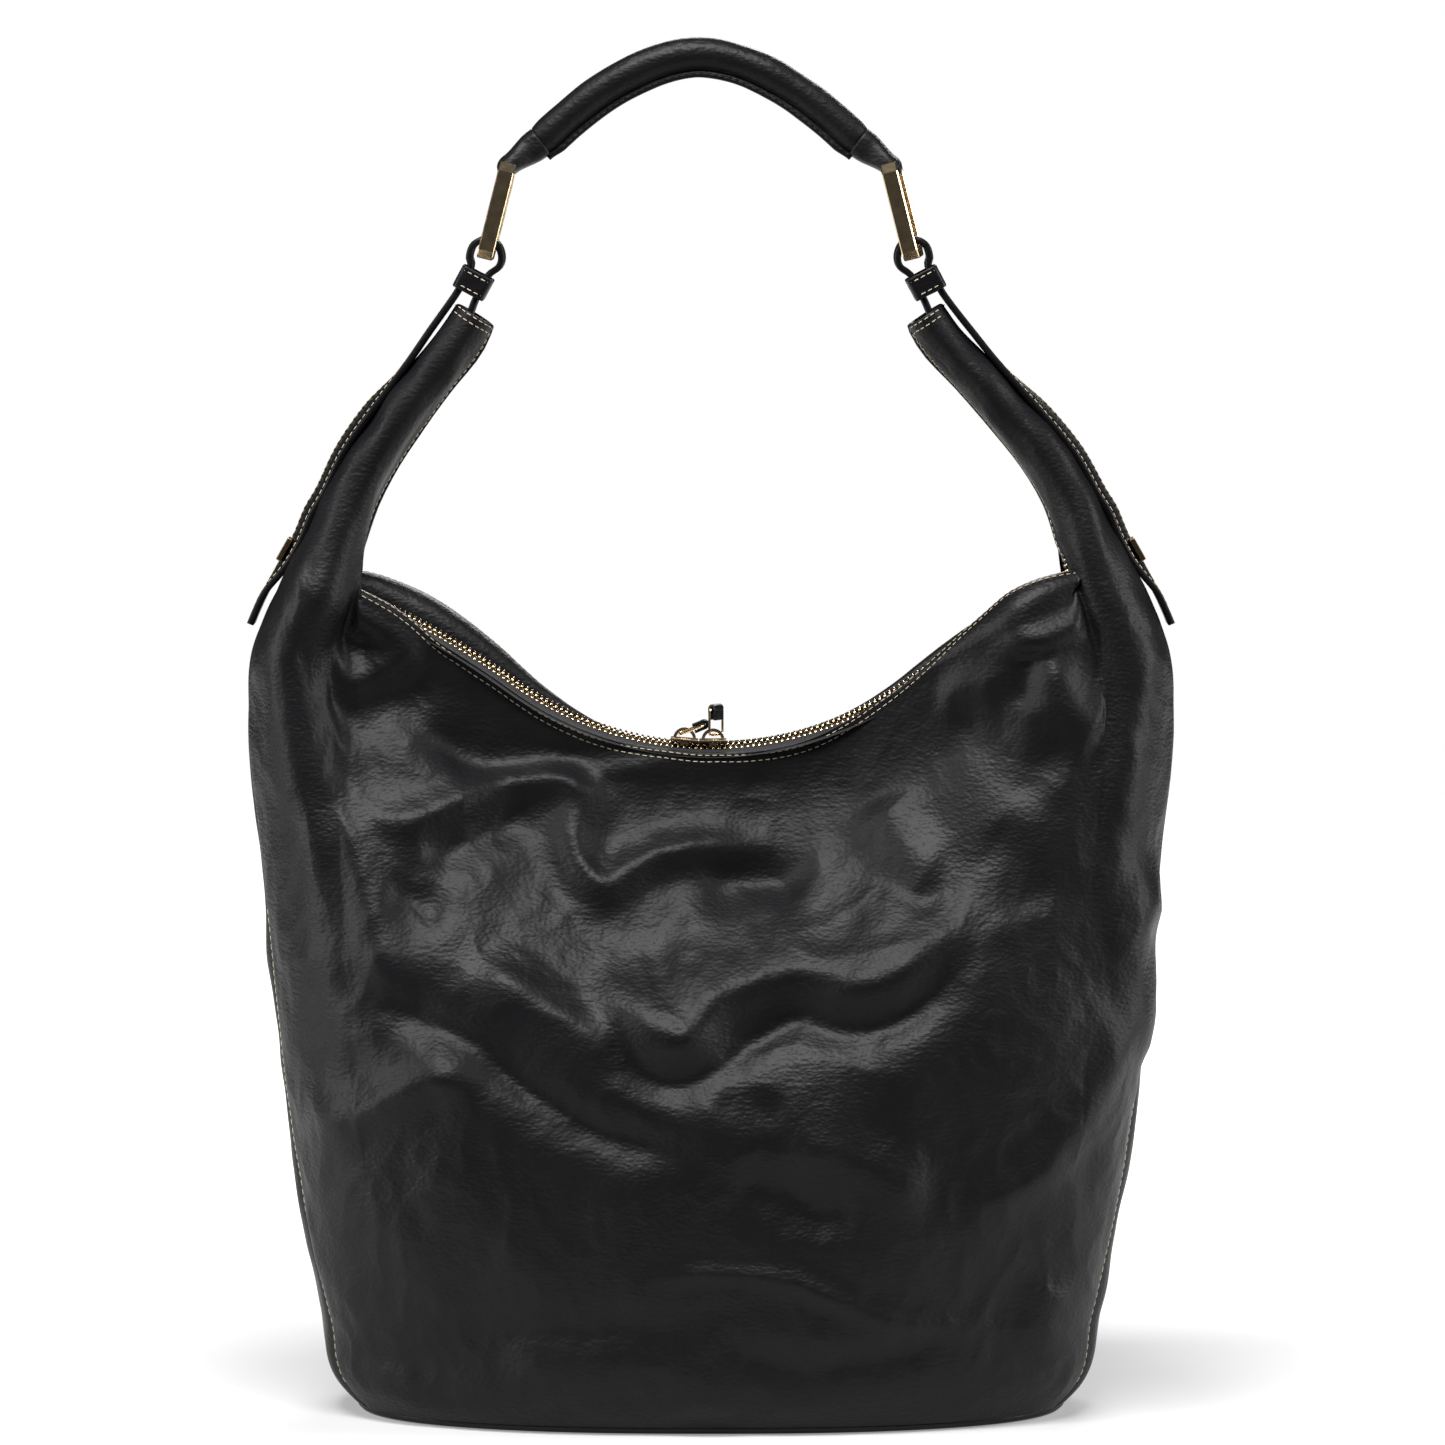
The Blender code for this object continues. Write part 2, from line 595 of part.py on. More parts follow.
# ---------------------------------------------------------------- assembly
def main():
    clear_scene()
    leather = make_material("leather", (0.018, 0.018, 0.021), 0.42)
    lining = make_material("lining", (0.10, 0.085, 0.065), 0.85)
    board = make_material("board", (0.16, 0.13, 0.10), 0.8)
    tape = make_material("zip_tape", (0.012, 0.012, 0.013), 0.9)
    gold = make_material("gold", (0.86, 0.66, 0.38), 0.18, 1.0)
    bronze = make_material("stud_metal", (0.42, 0.30, 0.16), 0.30, 1.0)
    core = make_material("core", (0.55, 0.50, 0.42), 0.9)
    make_body(leather, lining, board)
    make_zip(tape, gold)
    left_x = SLIDER_MEET_X - SLIDER_LENGTH / 2 - GAP
    right_x = SLIDER_MEET_X + SLIDER_LENGTH / 2 + GAP
    make_slider("left", left_x, gold)
    make_slider("right", right_x, gold)
    left_turn = Matrix.Rotation(pi / 2 - LEFT_PULL_SLOPE, 4, "Y")
    make_pull("left", left_x, PULL_SHIFTS[0], left_turn, gold, leather)
    make_pull("right", right_x, PULL_SHIFTS[1], Matrix.Rotation(-RIGHT_PULL_TURN, 4, "Z"), gold, leather)
    for name, side in SIDES:
        make_horn(name, side, leather)
        make_strap(name, side, leather)
        make_keeper(name, side, leather)
        make_stud(name, side, bronze)
        make_link(name, side, gold)
    make_handle(leather, core)


main()
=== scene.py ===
"""Black leather hobo bag with a two-way top zip and a rolled handle, dressed around its working frame."""

import logging
import math
from dataclasses import dataclass
from enum import Enum

import bmesh
import bpy
import numpy as np
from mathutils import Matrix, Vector, noise


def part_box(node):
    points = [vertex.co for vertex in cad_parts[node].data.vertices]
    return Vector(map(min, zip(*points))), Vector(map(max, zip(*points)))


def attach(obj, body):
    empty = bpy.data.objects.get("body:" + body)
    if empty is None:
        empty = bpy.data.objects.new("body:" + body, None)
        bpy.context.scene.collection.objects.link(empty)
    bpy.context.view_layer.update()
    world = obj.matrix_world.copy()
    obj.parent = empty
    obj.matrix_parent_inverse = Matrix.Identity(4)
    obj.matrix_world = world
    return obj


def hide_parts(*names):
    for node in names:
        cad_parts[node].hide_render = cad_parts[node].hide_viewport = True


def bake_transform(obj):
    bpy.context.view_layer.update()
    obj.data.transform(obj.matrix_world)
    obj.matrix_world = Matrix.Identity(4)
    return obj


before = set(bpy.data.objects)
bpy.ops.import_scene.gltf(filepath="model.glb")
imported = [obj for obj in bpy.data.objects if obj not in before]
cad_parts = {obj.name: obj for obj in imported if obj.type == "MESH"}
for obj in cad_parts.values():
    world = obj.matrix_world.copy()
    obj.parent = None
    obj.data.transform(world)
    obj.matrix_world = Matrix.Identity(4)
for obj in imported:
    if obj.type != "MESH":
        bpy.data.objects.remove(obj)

logging.basicConfig(level=logging.INFO, format="%(message)s")
log = logging.getLogger("hobo_bag")

MM = 0.001
TAU = 2 * math.pi
ACROSS = np.array([0.0, 1.0, 0.0])
LEAN = -4.5 * MM


class Face(Enum):
    """Which broad side of the bag a panel belongs to."""

    FRONT = -1.0
    BACK = 1.0


# ---------------------------------------------------------------- numbers and curves


def ramp(value: np.ndarray, start: float, end: float) -> np.ndarray:
    """Smooth rise from 0 at start to 1 at end."""
    share = np.clip((np.asarray(value, float) - start) / (end - start), 0, 1)
    return share * share * (3 - 2 * share)


class Curve:
    """A smooth curve through knots, each a place followed by one or more values."""

    def __init__(self, knots: tuple) -> None:
        """Store the knots and their slopes."""
        table = np.array(knots, float)
        self.place = table[:, 0]
        self.value = table[:, 1:]
        self.slope = np.gradient(self.value, self.place, axis=0)

    def __call__(self, where: np.ndarray) -> np.ndarray:
        """Read the curve.

        Args:
            where: places, clipped to the knots' span.

        Returns:
            The values, with a last axis only where the knots hold several.
        """
        where = np.clip(np.asarray(where, float), self.place[0], self.place[-1])
        i = np.clip(np.searchsorted(self.place, where, side="right") - 1, 0, len(self.place) - 2)
        step = (self.place[i + 1] - self.place[i])[..., None]
        t = (where - self.place[i])[..., None] / step
        start = (1 + 2 * t) * (1 - t) ** 2 * self.value[i] + t * (1 - t) ** 2 * step * self.slope[i]
        end = t * t * (3 - 2 * t) * self.value[i + 1] + t * t * (t - 1) * step * self.slope[i + 1]
        total = start + end
        return total[..., 0] if self.value.shape[1] == 1 else total


def lean(z: np.ndarray) -> np.ndarray:
    """Sideways lean of everything above the shoulders."""
    return LEAN * ramp(z, 0.36, 0.45)


def resample(path: np.ndarray, pitch: float) -> np.ndarray:
    """Points at an even pitch along a polyline."""
    length = travelled(path[:, :3])
    count = max(int(length[-1] / pitch), 2)
    places = np.linspace(0, length[-1], count)
    return np.stack([np.interp(places, length, path[:, k]) for k in range(path.shape[1])], axis=1)


def smoothed(path: np.ndarray, window: int) -> np.ndarray:
    """A polyline after a moving average that keeps both ends."""
    padded = np.vstack([np.repeat(path[:1], window, 0), path, np.repeat(path[-1:], window, 0)])
    kernel = np.ones(2 * window + 1) / (2 * window + 1)
    return np.stack([np.convolve(padded[:, k], kernel, "valid") for k in range(path.shape[1])], axis=1)


def travelled(path: np.ndarray) -> np.ndarray:
    """Distance along a polyline at each of its points."""
    return np.concatenate([[0], np.cumsum(np.linalg.norm(np.diff(path, axis=0), axis=1))])


def rounded_square(angle: np.ndarray, power: float) -> tuple:
    """Cosine and sine of an angle, pushed out towards a square by a power under one."""
    return tuple(np.sign(wave) * np.abs(wave) ** power for wave in (np.cos(angle), np.sin(angle)))


def units(vectors: np.ndarray) -> np.ndarray:
    """Vectors scaled to length one along the last axis."""
    return vectors / np.maximum(np.linalg.norm(vectors, axis=-1, keepdims=True), 1e-12)


def relaxed(field: np.ndarray, passes: int) -> np.ndarray:
    """A grid of values after some passes of averaging with its neighbours."""
    for _ in range(passes):
        for axis in (0, 1):
            ahead = np.concatenate([np.take(field, range(1, field.shape[axis]), axis),
                                    np.take(field, [-1], axis)], axis)
            behind = np.concatenate([np.take(field, [0], axis),
                                     np.take(field, range(field.shape[axis] - 1), axis)], axis)
            field = 0.5 * field + 0.25 * (ahead + behind)
    return field


def grain(points: np.ndarray, scale: tuple, seed: float) -> np.ndarray:
    """Smooth noise at points, stretched by a scale for each axis."""
    flat = points.reshape(-1, 3) * np.array(scale)
    offset = Vector((seed, seed * 1.7, seed * 0.6))
    values = [noise.noise(Vector(place) + offset) for place in flat]
    return np.array(values).reshape(points.shape[:-1])


# ---------------------------------------------------------------- shaders


class Wire:
    """A shader socket that takes part in sums."""

    def __init__(self, shader: "Shader", socket: bpy.types.NodeSocket) -> None:
        """Hold a socket and the shader it belongs to."""
        self.shader = shader
        self.socket = socket

    def _maths(self, operation: str, first: object, second: object) -> "Wire":
        """One Math node on two values."""
        node = self.shader.node("ShaderNodeMath", {"operation": operation}, {0: first, 1: second})
        return Wire(self.shader, node.outputs[0])

    def __add__(self, other: object) -> "Wire":
        """self + other."""
        return self._maths("ADD", self, other)

    def __mul__(self, other: object) -> "Wire":
        """self * other."""
        return self._maths("MULTIPLY", self, other)

    def __sub__(self, other: object) -> "Wire":
        """self - other."""
        return self._maths("SUBTRACT", self, other)


class Shader:
    """Builds one material's node tree around a Principled shader."""

    def __init__(self, name: str) -> None:
        """Start a material with its output linked."""
        self.material = bpy.data.materials.new(name)
        self.material.use_nodes = True
        self.tree = self.material.node_tree
        self.base = self.tree.nodes["Principled BSDF"]

    def node(self, kind: str, settings: dict | None = None, inputs: dict | None = None) -> bpy.types.Node:
        """Add a node.

        Args:
            kind: the node's type name.
            settings: attributes to set on it.
            inputs: values or Wires by input name or index.

        Returns:
            The new node.
        """
        node = self.tree.nodes.new(kind)
        for key, value in (settings or {}).items():
            setattr(node, key, value)
        for key, value in (inputs or {}).items():
            self.feed(node.inputs[key], value)
        return node

    def feed(self, socket: bpy.types.NodeSocket, value: object) -> None:
        """Link a Wire to a socket, or set a constant on it."""
        if isinstance(value, Wire):
            self.tree.links.new(value.socket, socket)
        else:
            socket.default_value = value

    def place(self) -> Wire:
        """Object coordinates."""
        return Wire(self, self.node("ShaderNodeTexCoord").outputs["Object"])

    def stretched(self, place: Wire, scale: tuple) -> Wire:
        """Coordinates multiplied by a scale for each axis."""
        node = self.node("ShaderNodeVectorMath", {"operation": "MULTIPLY"}, {0: place, 1: scale})
        return Wire(self, node.outputs[0])

    def noise(self, place: Wire, scale: float, detail: float = 2.0) -> Wire:
        """Noise around one half."""
        node = self.node("ShaderNodeTexNoise", None, {"Vector": place, "Scale": scale, "Detail": detail})
        return Wire(self, node.outputs["Fac"])

    def cells(self, place: Wire, scale: float) -> Wire:
        """Distance from the middle of the nearest cell."""
        node = self.node("ShaderNodeTexVoronoi", {"feature": "SMOOTH_F1"}, {"Vector": place, "Scale": scale})
        return Wire(self, node.outputs["Distance"])

    def mixed(self, share: Wire, first: tuple, second: tuple) -> Wire:
        """A colour between two."""
        inputs = {"Factor": share, 6: (*first, 1.0), 7: (*second, 1.0)}
        node = self.node("ShaderNodeMix", {"data_type": "RGBA"}, inputs)
        return Wire(self, node.outputs[2])

    def bump(self, height: Wire, strength: float, distance: float) -> None:
        """Feed a height to the shader's normal."""
        inputs = {"Height": height, "Strength": strength, "Distance": distance}
        node = self.node("ShaderNodeBump", None, inputs)
        self.feed(self.base.inputs["Normal"], Wire(self, node.outputs["Normal"]))

    def set(self, **values: object) -> None:
        """Set or link Principled inputs, with _ for each space in a name."""
        for key, value in values.items():
            self.feed(self.base.inputs[key.replace("_", " ")], value)


@dataclass(frozen=True)
class Leather:
    """Satin leather with a fine pebble grain."""

    name: str
    colour: tuple = (0.0030, 0.0030, 0.0036)
    roughness: float = 0.47
    strength: float = 0.60
    pebbles: float = 680.0
    creases: float = 700.0
    relief: float = 0.55 * MM
    sheen: float = 0.2

    def material(self) -> bpy.types.Material:
        """Make the material."""
        shader = Shader(self.name)
        place = shader.place()
        warp = shader.noise(place, 90.0, 2.0)
        pebbles = shader.cells(shader.stretched(place, (0.8, 0.8, 1.15)), self.pebbles)
        creases = shader.noise(shader.stretched(place, (0.35, 0.35, 1.0)), self.creases, 3.0)
        height = pebbles * -0.55 + creases * 0.6 + warp * 0.35
        shader.bump(height, self.strength, self.relief)
        patches = shader.noise(place, 24.0, 3.0)
        light = tuple(value * 1.5 for value in self.colour)
        shader.set(Base_Color=shader.mixed(patches, self.colour, light),
                   Roughness=patches * 0.16 + (self.roughness - 0.08),
                   Specular_IOR_Level=self.sheen)
        return shader.material


@dataclass(frozen=True)
class Metal:
    """Polished plate with faint smudges."""

    name: str
    colour: tuple
    roughness: float

    def material(self) -> bpy.types.Material:
        """Make the material."""
        shader = Shader(self.name)
        smudge = shader.noise(shader.place(), 220.0, 3.0)
        darker = tuple(value * 0.82 for value in self.colour)
        shader.set(Base_Color=shader.mixed(smudge, darker, self.colour), Metallic=1.0,
                   Roughness=smudge * 0.14 + self.roughness)
        return shader.material


@dataclass(frozen=True)
class Weave:
    """Plain woven or felted stuff."""

    name: str
    colour: tuple
    threads: float

    def material(self) -> bpy.types.Material:
        """Make the material."""
        shader = Shader(self.name)
        place = shader.place()
        fibre = shader.noise(shader.stretched(place, (1.0, 0.25, 1.0)), self.threads, 2.0)
        cross = shader.noise(shader.stretched(place, (0.25, 1.0, 0.25)), self.threads, 2.0)
        shader.bump(fibre + cross, 0.6, 0.2 * MM)
        light = tuple(min(value * 1.5, 1.0) for value in self.colour)
        shader.set(Base_Color=shader.mixed(fibre, self.colour, light), Roughness=0.85)
        return shader.material


class Finishes:
    """Every material of the object, by slot name."""

    def __init__(self) -> None:
        """Make them all once."""
        self.leather = Leather("leather").material()
        self.trim = Leather("leather_trim", roughness=0.38, strength=0.35).material()
        self.lining = Weave("lining", (0.10, 0.085, 0.065), 1500.0).material()
        self.board = Weave("board", (0.16, 0.13, 0.10), 500.0).material()
        self.zip_tape = Weave("zip_tape", (0.008, 0.008, 0.009), 2200.0).material()
        self.gold = Metal("gold", (0.88, 0.68, 0.42), 0.12).material()
        self.stud_metal = Metal("stud_metal", (0.30, 0.21, 0.12), 0.22).material()
        self.core = Weave("core", (0.50, 0.45, 0.36), 1200.0).material()
        self.thread = Weave("thread", (0.42, 0.36, 0.26), 2600.0).material()


# ---------------------------------------------------------------- mesh helpers


@dataclass(frozen=True)
class Piece:
    """How a finished mesh takes its place in the frame."""

    FOLD_LOW = (0, 0, 0.312)
    FOLD_HIGH = (0, 0, 0.378)

    slot: str
    body: str = "bag"
    replaces: tuple = ()

    def fit(self, item: bpy.types.Object) -> bpy.types.Object:
        """Parent an item to its body's empty, or bake a skin item in place, and hide the nodes that it stands
        for.
        """
        if self.body == "skin":
            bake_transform(item)
        else:
            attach(item, self.body)
        if self.replaces:
            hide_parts(*self.replaces)
        triangles = sum(len(face.vertices) - 2 for face in item.data.polygons)
        log.info("%s: %d triangles, moves with %s", item.name, triangles, self.body)
        return item


def make_item(name: str, points: list, faces: list, material: bpy.types.Material,
              sharp: float = 180.0) -> bpy.types.Object:
    """A mesh object at the origin from points and faces."""
    mesh = bpy.data.meshes.new(name)
    mesh.from_pydata([tuple(point) for point in points], [], [tuple(face) for face in faces])
    mesh.materials.append(material)
    mesh.shade_smooth()
    if sharp < 180:
        mesh.set_sharp_from_angle(angle=math.radians(sharp))
    item = bpy.data.objects.new(name, mesh)
    bpy.context.scene.collection.objects.link(item)
    return item


def grid_faces(rows: int, columns: int, closed: bool = False) -> list:
    """Quads of a grid of points stored row by row."""
    faces = []
    for i in range(rows - 1):
        for j in range(columns if closed else columns - 1):
            k = (j + 1) % columns
            faces.append((i * columns + j, i * columns + k, (i + 1) * columns + k, (i + 1) * columns + j))
    return faces


def loft(name: str, rings: np.ndarray, material: bpy.types.Material, caps: bool = True,
         sharp: float = 180.0) -> bpy.types.Object:
    """A closed tube through rings of points, with its faces turned outwards."""
    rows, columns = rings.shape[:2]
    faces = grid_faces(rows, columns, closed=True)
    if caps:
        faces.append(tuple(range(columns)))
        faces.append(tuple(range((rows - 1) * columns, rows * columns)))
    item = make_item(name, rings.reshape(-1, 3), faces, material, sharp)
    shape = bmesh.new()
    shape.from_mesh(item.data)
    bmesh.ops.recalc_face_normals(shape, faces=shape.faces)
    if shape.calc_volume(signed=True) < 0:
        bmesh.ops.reverse_faces(shape, faces=shape.faces)
    shape.to_mesh(item.data)
    shape.free()
    return item


def surface_normals(points: np.ndarray) -> np.ndarray:
    """Unit normals of a grid of points."""
    return units(np.cross(np.gradient(points, axis=1), np.gradient(points, axis=0)))


@dataclass(frozen=True)
class Repeat:
    """A small shape set many times along a path."""

    STEPS = 8

    outline: tuple
    pitch: float

    def mesh(self, name: str, path: np.ndarray, up: np.ndarray, material: bpy.types.Material,
             offsets: tuple = ((0.0, 0.0),)) -> bpy.types.Object:
        """Set the shape along a path.

        Args:
            name: the object's name.
            path: a dense polyline.
            up: the outward direction at each point of it.
            material: the shape's material.
            offsets: for each row, (sideways shift, share of a pitch to start at).

        Returns:
            One object that holds every copy.
        """
        rings = np.array(self.outline)
        count, sides = rings.shape[:2]
        faces = grid_faces(count, sides, closed=True)
        faces += [tuple(reversed(range(sides))), tuple(range((count - 1) * sides, count * sides))]
        even = resample(np.hstack([path, up]), self.pitch / self.STEPS)
        ahead = units(np.gradient(even[:, :3], axis=0))
        upward = units(even[:, 3:])
        side = units(np.cross(ahead, upward))
        upward = np.cross(side, ahead)
        points, all_faces = [], []
        half = self.STEPS // 2
        for shift, phase in offsets:
            for i in range(int(self.STEPS * phase) + half, len(even) - half, self.STEPS):
                axes = np.stack([ahead[i], side[i], upward[i]])
                origin = even[i, :3] + side[i] * shift
                base = len(points)
                points.extend(rings.reshape(-1, 3) @ axes + origin)
                all_faces.extend(tuple(v + base for v in face) for face in faces)
        return make_item(name, points, all_faces, material)


def capsule(length: float, width: float, height: float) -> tuple:
    """Rings of one stitch: along, across and up."""
    rings = []
    for along, size in ((-0.5, 0.35), (-0.36, 0.95), (0.36, 0.95), (0.5, 0.35)):
        ring = [(along * length, math.cos(k * TAU / 6) * width / 2 * size,
                 math.sin(k * TAU / 6) * height / 2 * size) for k in range(6)]
        rings.append(tuple(ring))
    return tuple(rings)


def block(length: float, width: float, height: float, chamfer: float) -> tuple:
    """Rings of a small block with chamfered ends, up the block's height."""
    rings = []
    rim = 0.5 - chamfer / height
    for up, cut in ((-0.5, chamfer), (-rim, 0), (rim, 0), (0.5, chamfer)):
        a, b = length / 2 - cut, width / 2 - cut
        rings.append(((-a, b, up * height), (-a, -b, up * height), (a, -b, up * height), (a, b, up * height)))
    return tuple(rings)


STITCH = Repeat(capsule(2.3 * MM, 0.55 * MM, 0.45 * MM), 3.5 * MM)
FINE_STITCH = Repeat(capsule(1.9 * MM, 0.48 * MM, 0.4 * MM), 2.9 * MM)
TOOTH = Repeat(block(0.95 * MM, 2.1 * MM, 1.5 * MM, 0.2 * MM), 2.3 * MM)


def soft_copy(node: str, voxel: float, material: bpy.types.Material) -> bpy.types.Object:
    """A rounded, slightly uneven copy of a hard leather part."""
    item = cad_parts[node].copy()
    item.data = item.data.copy()
    item.name = node + "_leather"
    item.parent = None
    for key in list(item.keys()):
        del item[key]
    bpy.context.scene.collection.objects.link(item)
    remesh = item.modifiers.new("skin", "REMESH")
    remesh.mode = "VOXEL"
    remesh.voxel_size = voxel
    relax = item.modifiers.new("relax", "SMOOTH")
    relax.factor = 0.5
    relax.iterations = 4
    state = bpy.context.evaluated_depsgraph_get()
    mesh = bpy.data.meshes.new_from_object(item.evaluated_get(state))
    item.modifiers.clear()
    item.data = mesh
    points = np.array([vertex.co for vertex in mesh.vertices])
    away = np.array([vertex.normal for vertex in mesh.vertices])
    points += away * (0.12 * MM * grain(points, (260, 260, 260), 3.0)[:, None] + 0.05 * MM)
    mesh.vertices.foreach_set("co", points.astype(np.float32).ravel())
    mesh.materials.clear()
    mesh.materials.append(material)
    mesh.shade_smooth()
    return item


# ---------------------------------------------------------------- the leather body


@dataclass(frozen=True)
class Fold:
    """One fold of the leather, in millimetres: its line, its height, and its reach to each side."""

    SPREAD = 1.15
    LIFT = 1.35

    line: tuple
    height: float
    above: float
    below: float = 0.0

    def lift(self, x: np.ndarray, z: np.ndarray) -> np.ndarray:
        """Height of the fold at places across the panel, in millimetres."""
        knots = np.array(self.line, float)
        line = Curve(tuple((i, *knot) for i, knot in enumerate(knots)))
        path = line(np.linspace(0, len(knots) - 1, 6 * len(knots)))
        length = travelled(path)
        best = np.full(x.shape, 1e9)
        share = np.zeros(x.shape)
        sign = np.zeros(x.shape)
        for i, (start, end) in enumerate(zip(path, path[1:])):
            run = end - start
            size = max(float(run @ run), 1e-9)
            t = np.clip(((x - start[0]) * run[0] + (z - start[1]) * run[1]) / size, 0, 1)
            dx, dz = x - start[0] - t * run[0], z - start[1] - t * run[1]
            gap = np.hypot(dx, dz)
            near = gap < best
            best = np.where(near, gap, best)
            share = np.where(near, (length[i] + t * (length[i + 1] - length[i])) / length[-1], share)
            sign = np.where(near, run[0] * dz - run[1] * dx, sign)
        reach = np.where(sign >= 0, self.above, self.below or self.above) * self.SPREAD
        ends = ramp(share, 0.0, 0.25) * (1 - ramp(share, 0.75, 1.0))
        return self.height * self.LIFT * ends * np.exp(-((best / reach) ** 1.7))


FOLDS = (
    Fold(((-150, 256), (-138, 245), (-124, 238), (-108, 240), (-84, 251), (-66, 254), (-53, 248),
          (-56, 233), (-52, 219), (-42, 211), (-32, 217), (-12, 225), (20, 227), (40, 222)), 5.5, 6.5, 5.0),
    Fold(((-156, 268), (-144, 284), (-124, 290), (-104, 284)), -4.5, 14),
    Fold(((-124, 282), (-92, 262), (-60, 260), (-30, 258)), -4.0, 9, 6),
    Fold(((-70, 253), (-48, 257), (-28, 260), (-4, 265)), 2.5, 4),
    Fold(((-166, 352), (-158, 333), (-147, 323), (-132, 319), (-121, 312), (-123, 302), (-134, 295),
          (-148, 290), (-168, 287)), 4.5, 6, 7),
    Fold(((-170, 304), (-150, 306), (-130, 309)), -3.5, 7),
    Fold(((-118, 224), (-96, 233), (-66, 244)), -4.0, 8),
    Fold(((-128, 214), (-104, 204)), -3.0, 11),
    Fold(((-150, 250), (-136, 213), (-130, 189), (-126, 162)), 3.5, 9),
    Fold(((-8, 212), (20, 216), (40, 211)), -4.0, 8),
    Fold(((-46, 190), (-38, 172), (-24, 157), (-8, 153), (4, 167), (32, 177), (58, 173), (78, 181), (94, 199),
          (97, 218)), 7.5, 22, 6),
    Fold(((-46, 170), (-30, 148), (-12, 141), (6, 150), (34, 166), (60, 162), (84, 172), (104, 196)),
         -4.0, 7),
    Fold(((66, 250), (78, 226), (92, 214)), 3.5, 10),
    Fold(((-164, 117), (-136, 127), (-112, 139), (-88, 144)), 4.5, 8, 6),
    Fold(((-154, 182), (-124, 169), (-96, 157), (-72, 138), (-44, 121), (-12, 113), (4, 108)), -5.0, 10, 8),
    Fold(((-94, 184), (-68, 169), (-48, 157), (-34, 147)), 3.5, 8),
    Fold(((30, 125), (56, 109), (88, 98)), 3.5, 10),
    Fold(((8, 106), (36, 93), (60, 84)), -3.5, 9),
    Fold(((2, 136), (30, 126)), -2.5, 8),
    Fold(((162, 170), (152, 133), (140, 117), (124, 99), (96, 88)), 4.0, 8),
    Fold(((-30, 62), (-4, 65), (28, 63), (48, 55), (72, 45), (100, 41), (120, 40)), 2.4, 3.2, 2.2),
    Fold(((-120, 36), (-84, 41), (-44, 43), (0, 45)), -2.5, 8),
    Fold(((-150, 30), (-112, 26), (-68, 30)), -1.8, 8),
    Fold(((0, 37), (36, 27), (56, 29), (100, 36)), -3.0, 7),
    Fold(((138, 60), (132, 42), (127, 26)), 2.2, 10),
    Fold(((166, 226), (171, 205), (165, 193), (168, 173), (168, 138)), 3.5, 7),
    Fold(((112, 316), (128, 312), (140, 316), (152, 321)), 4.5, 5),
    Fold(((116, 328), (132, 328), (148, 327)), -3.5, 6),
    Fold(((127, 309), (123, 282)), -3.5, 5),
    Fold(((132, 308), (140, 286), (158, 268)), 4.0, 8),
    Fold(((92, 284), (114, 270), (136, 250)), -3.4, 13),
    Fold(((90, 292), (116, 288)), 2.5, 8),
    Fold(((108, 240), (120, 222), (124, 200)), -2.0, 10),
)

HALF_WIDTH = ((0.000, 0.1400), (0.010, 0.1495), (0.040, 0.1565), (0.100, 0.1680), (0.160, 0.1750),
              (0.220, 0.1805), (0.280, 0.1865), (0.305, 0.1848), (0.3165, 0.1806), (0.330, 0.1742))
HALF_DEPTH = ((0.00, 0.068), (0.04, 0.0745), (0.20, 0.080), (0.50, 0.079), (0.80, 0.070), (1.00, 0.060))
HORN = ((0.1575, 0.3267, 0.0175, 0.0275), (0.1512, 0.3477, 0.0124, 0.0222), (0.1438, 0.3650, 0.0106, 0.0185),
        (0.1342, 0.3818, 0.0105, 0.0162), (0.1221, 0.3980, 0.0102, 0.0150), (0.1081, 0.4146, 0.0096, 0.0144),
        (0.0956, 0.4288, 0.0095, 0.0140), (0.0898, 0.4377, 0.0093, 0.0134))
SEAM = ((0.0, 75.0), (0.15, 79.0), (0.35, 84.5), (0.80, 87.5), (1.0, 88.3))
LIPS = {
    (-1, 1): ((0, 1.2), (0.45, 1.2), (0.60, 4.0), (0.72, 9.0), (0.82, 13.5), (0.92, 12.0), (1.0, 9.0),
              (1.12, 5.0), (1.3, 1.5), (2, 1.2)),
    (-1, -1): ((0, 1.2), (0.80, 1.2), (0.92, 2.5), (1.0, 3.5), (1.15, 1.5), (2, 1.2)),
    (1, -1): ((0, 1.2), (0.33, 1.6), (0.45, 5.0), (0.60, 9.5), (0.80, 12.0), (0.94, 10.0), (1.0, 8.0),
              (1.15, 3.0), (1.3, 1.5), (2, 1.2)),
    (1, 1): ((0, 1.2), (0.40, 1.5), (0.55, 3.5), (0.75, 6.0), (1.0, 5.0), (1.3, 1.4), (2, 1.2)),
}


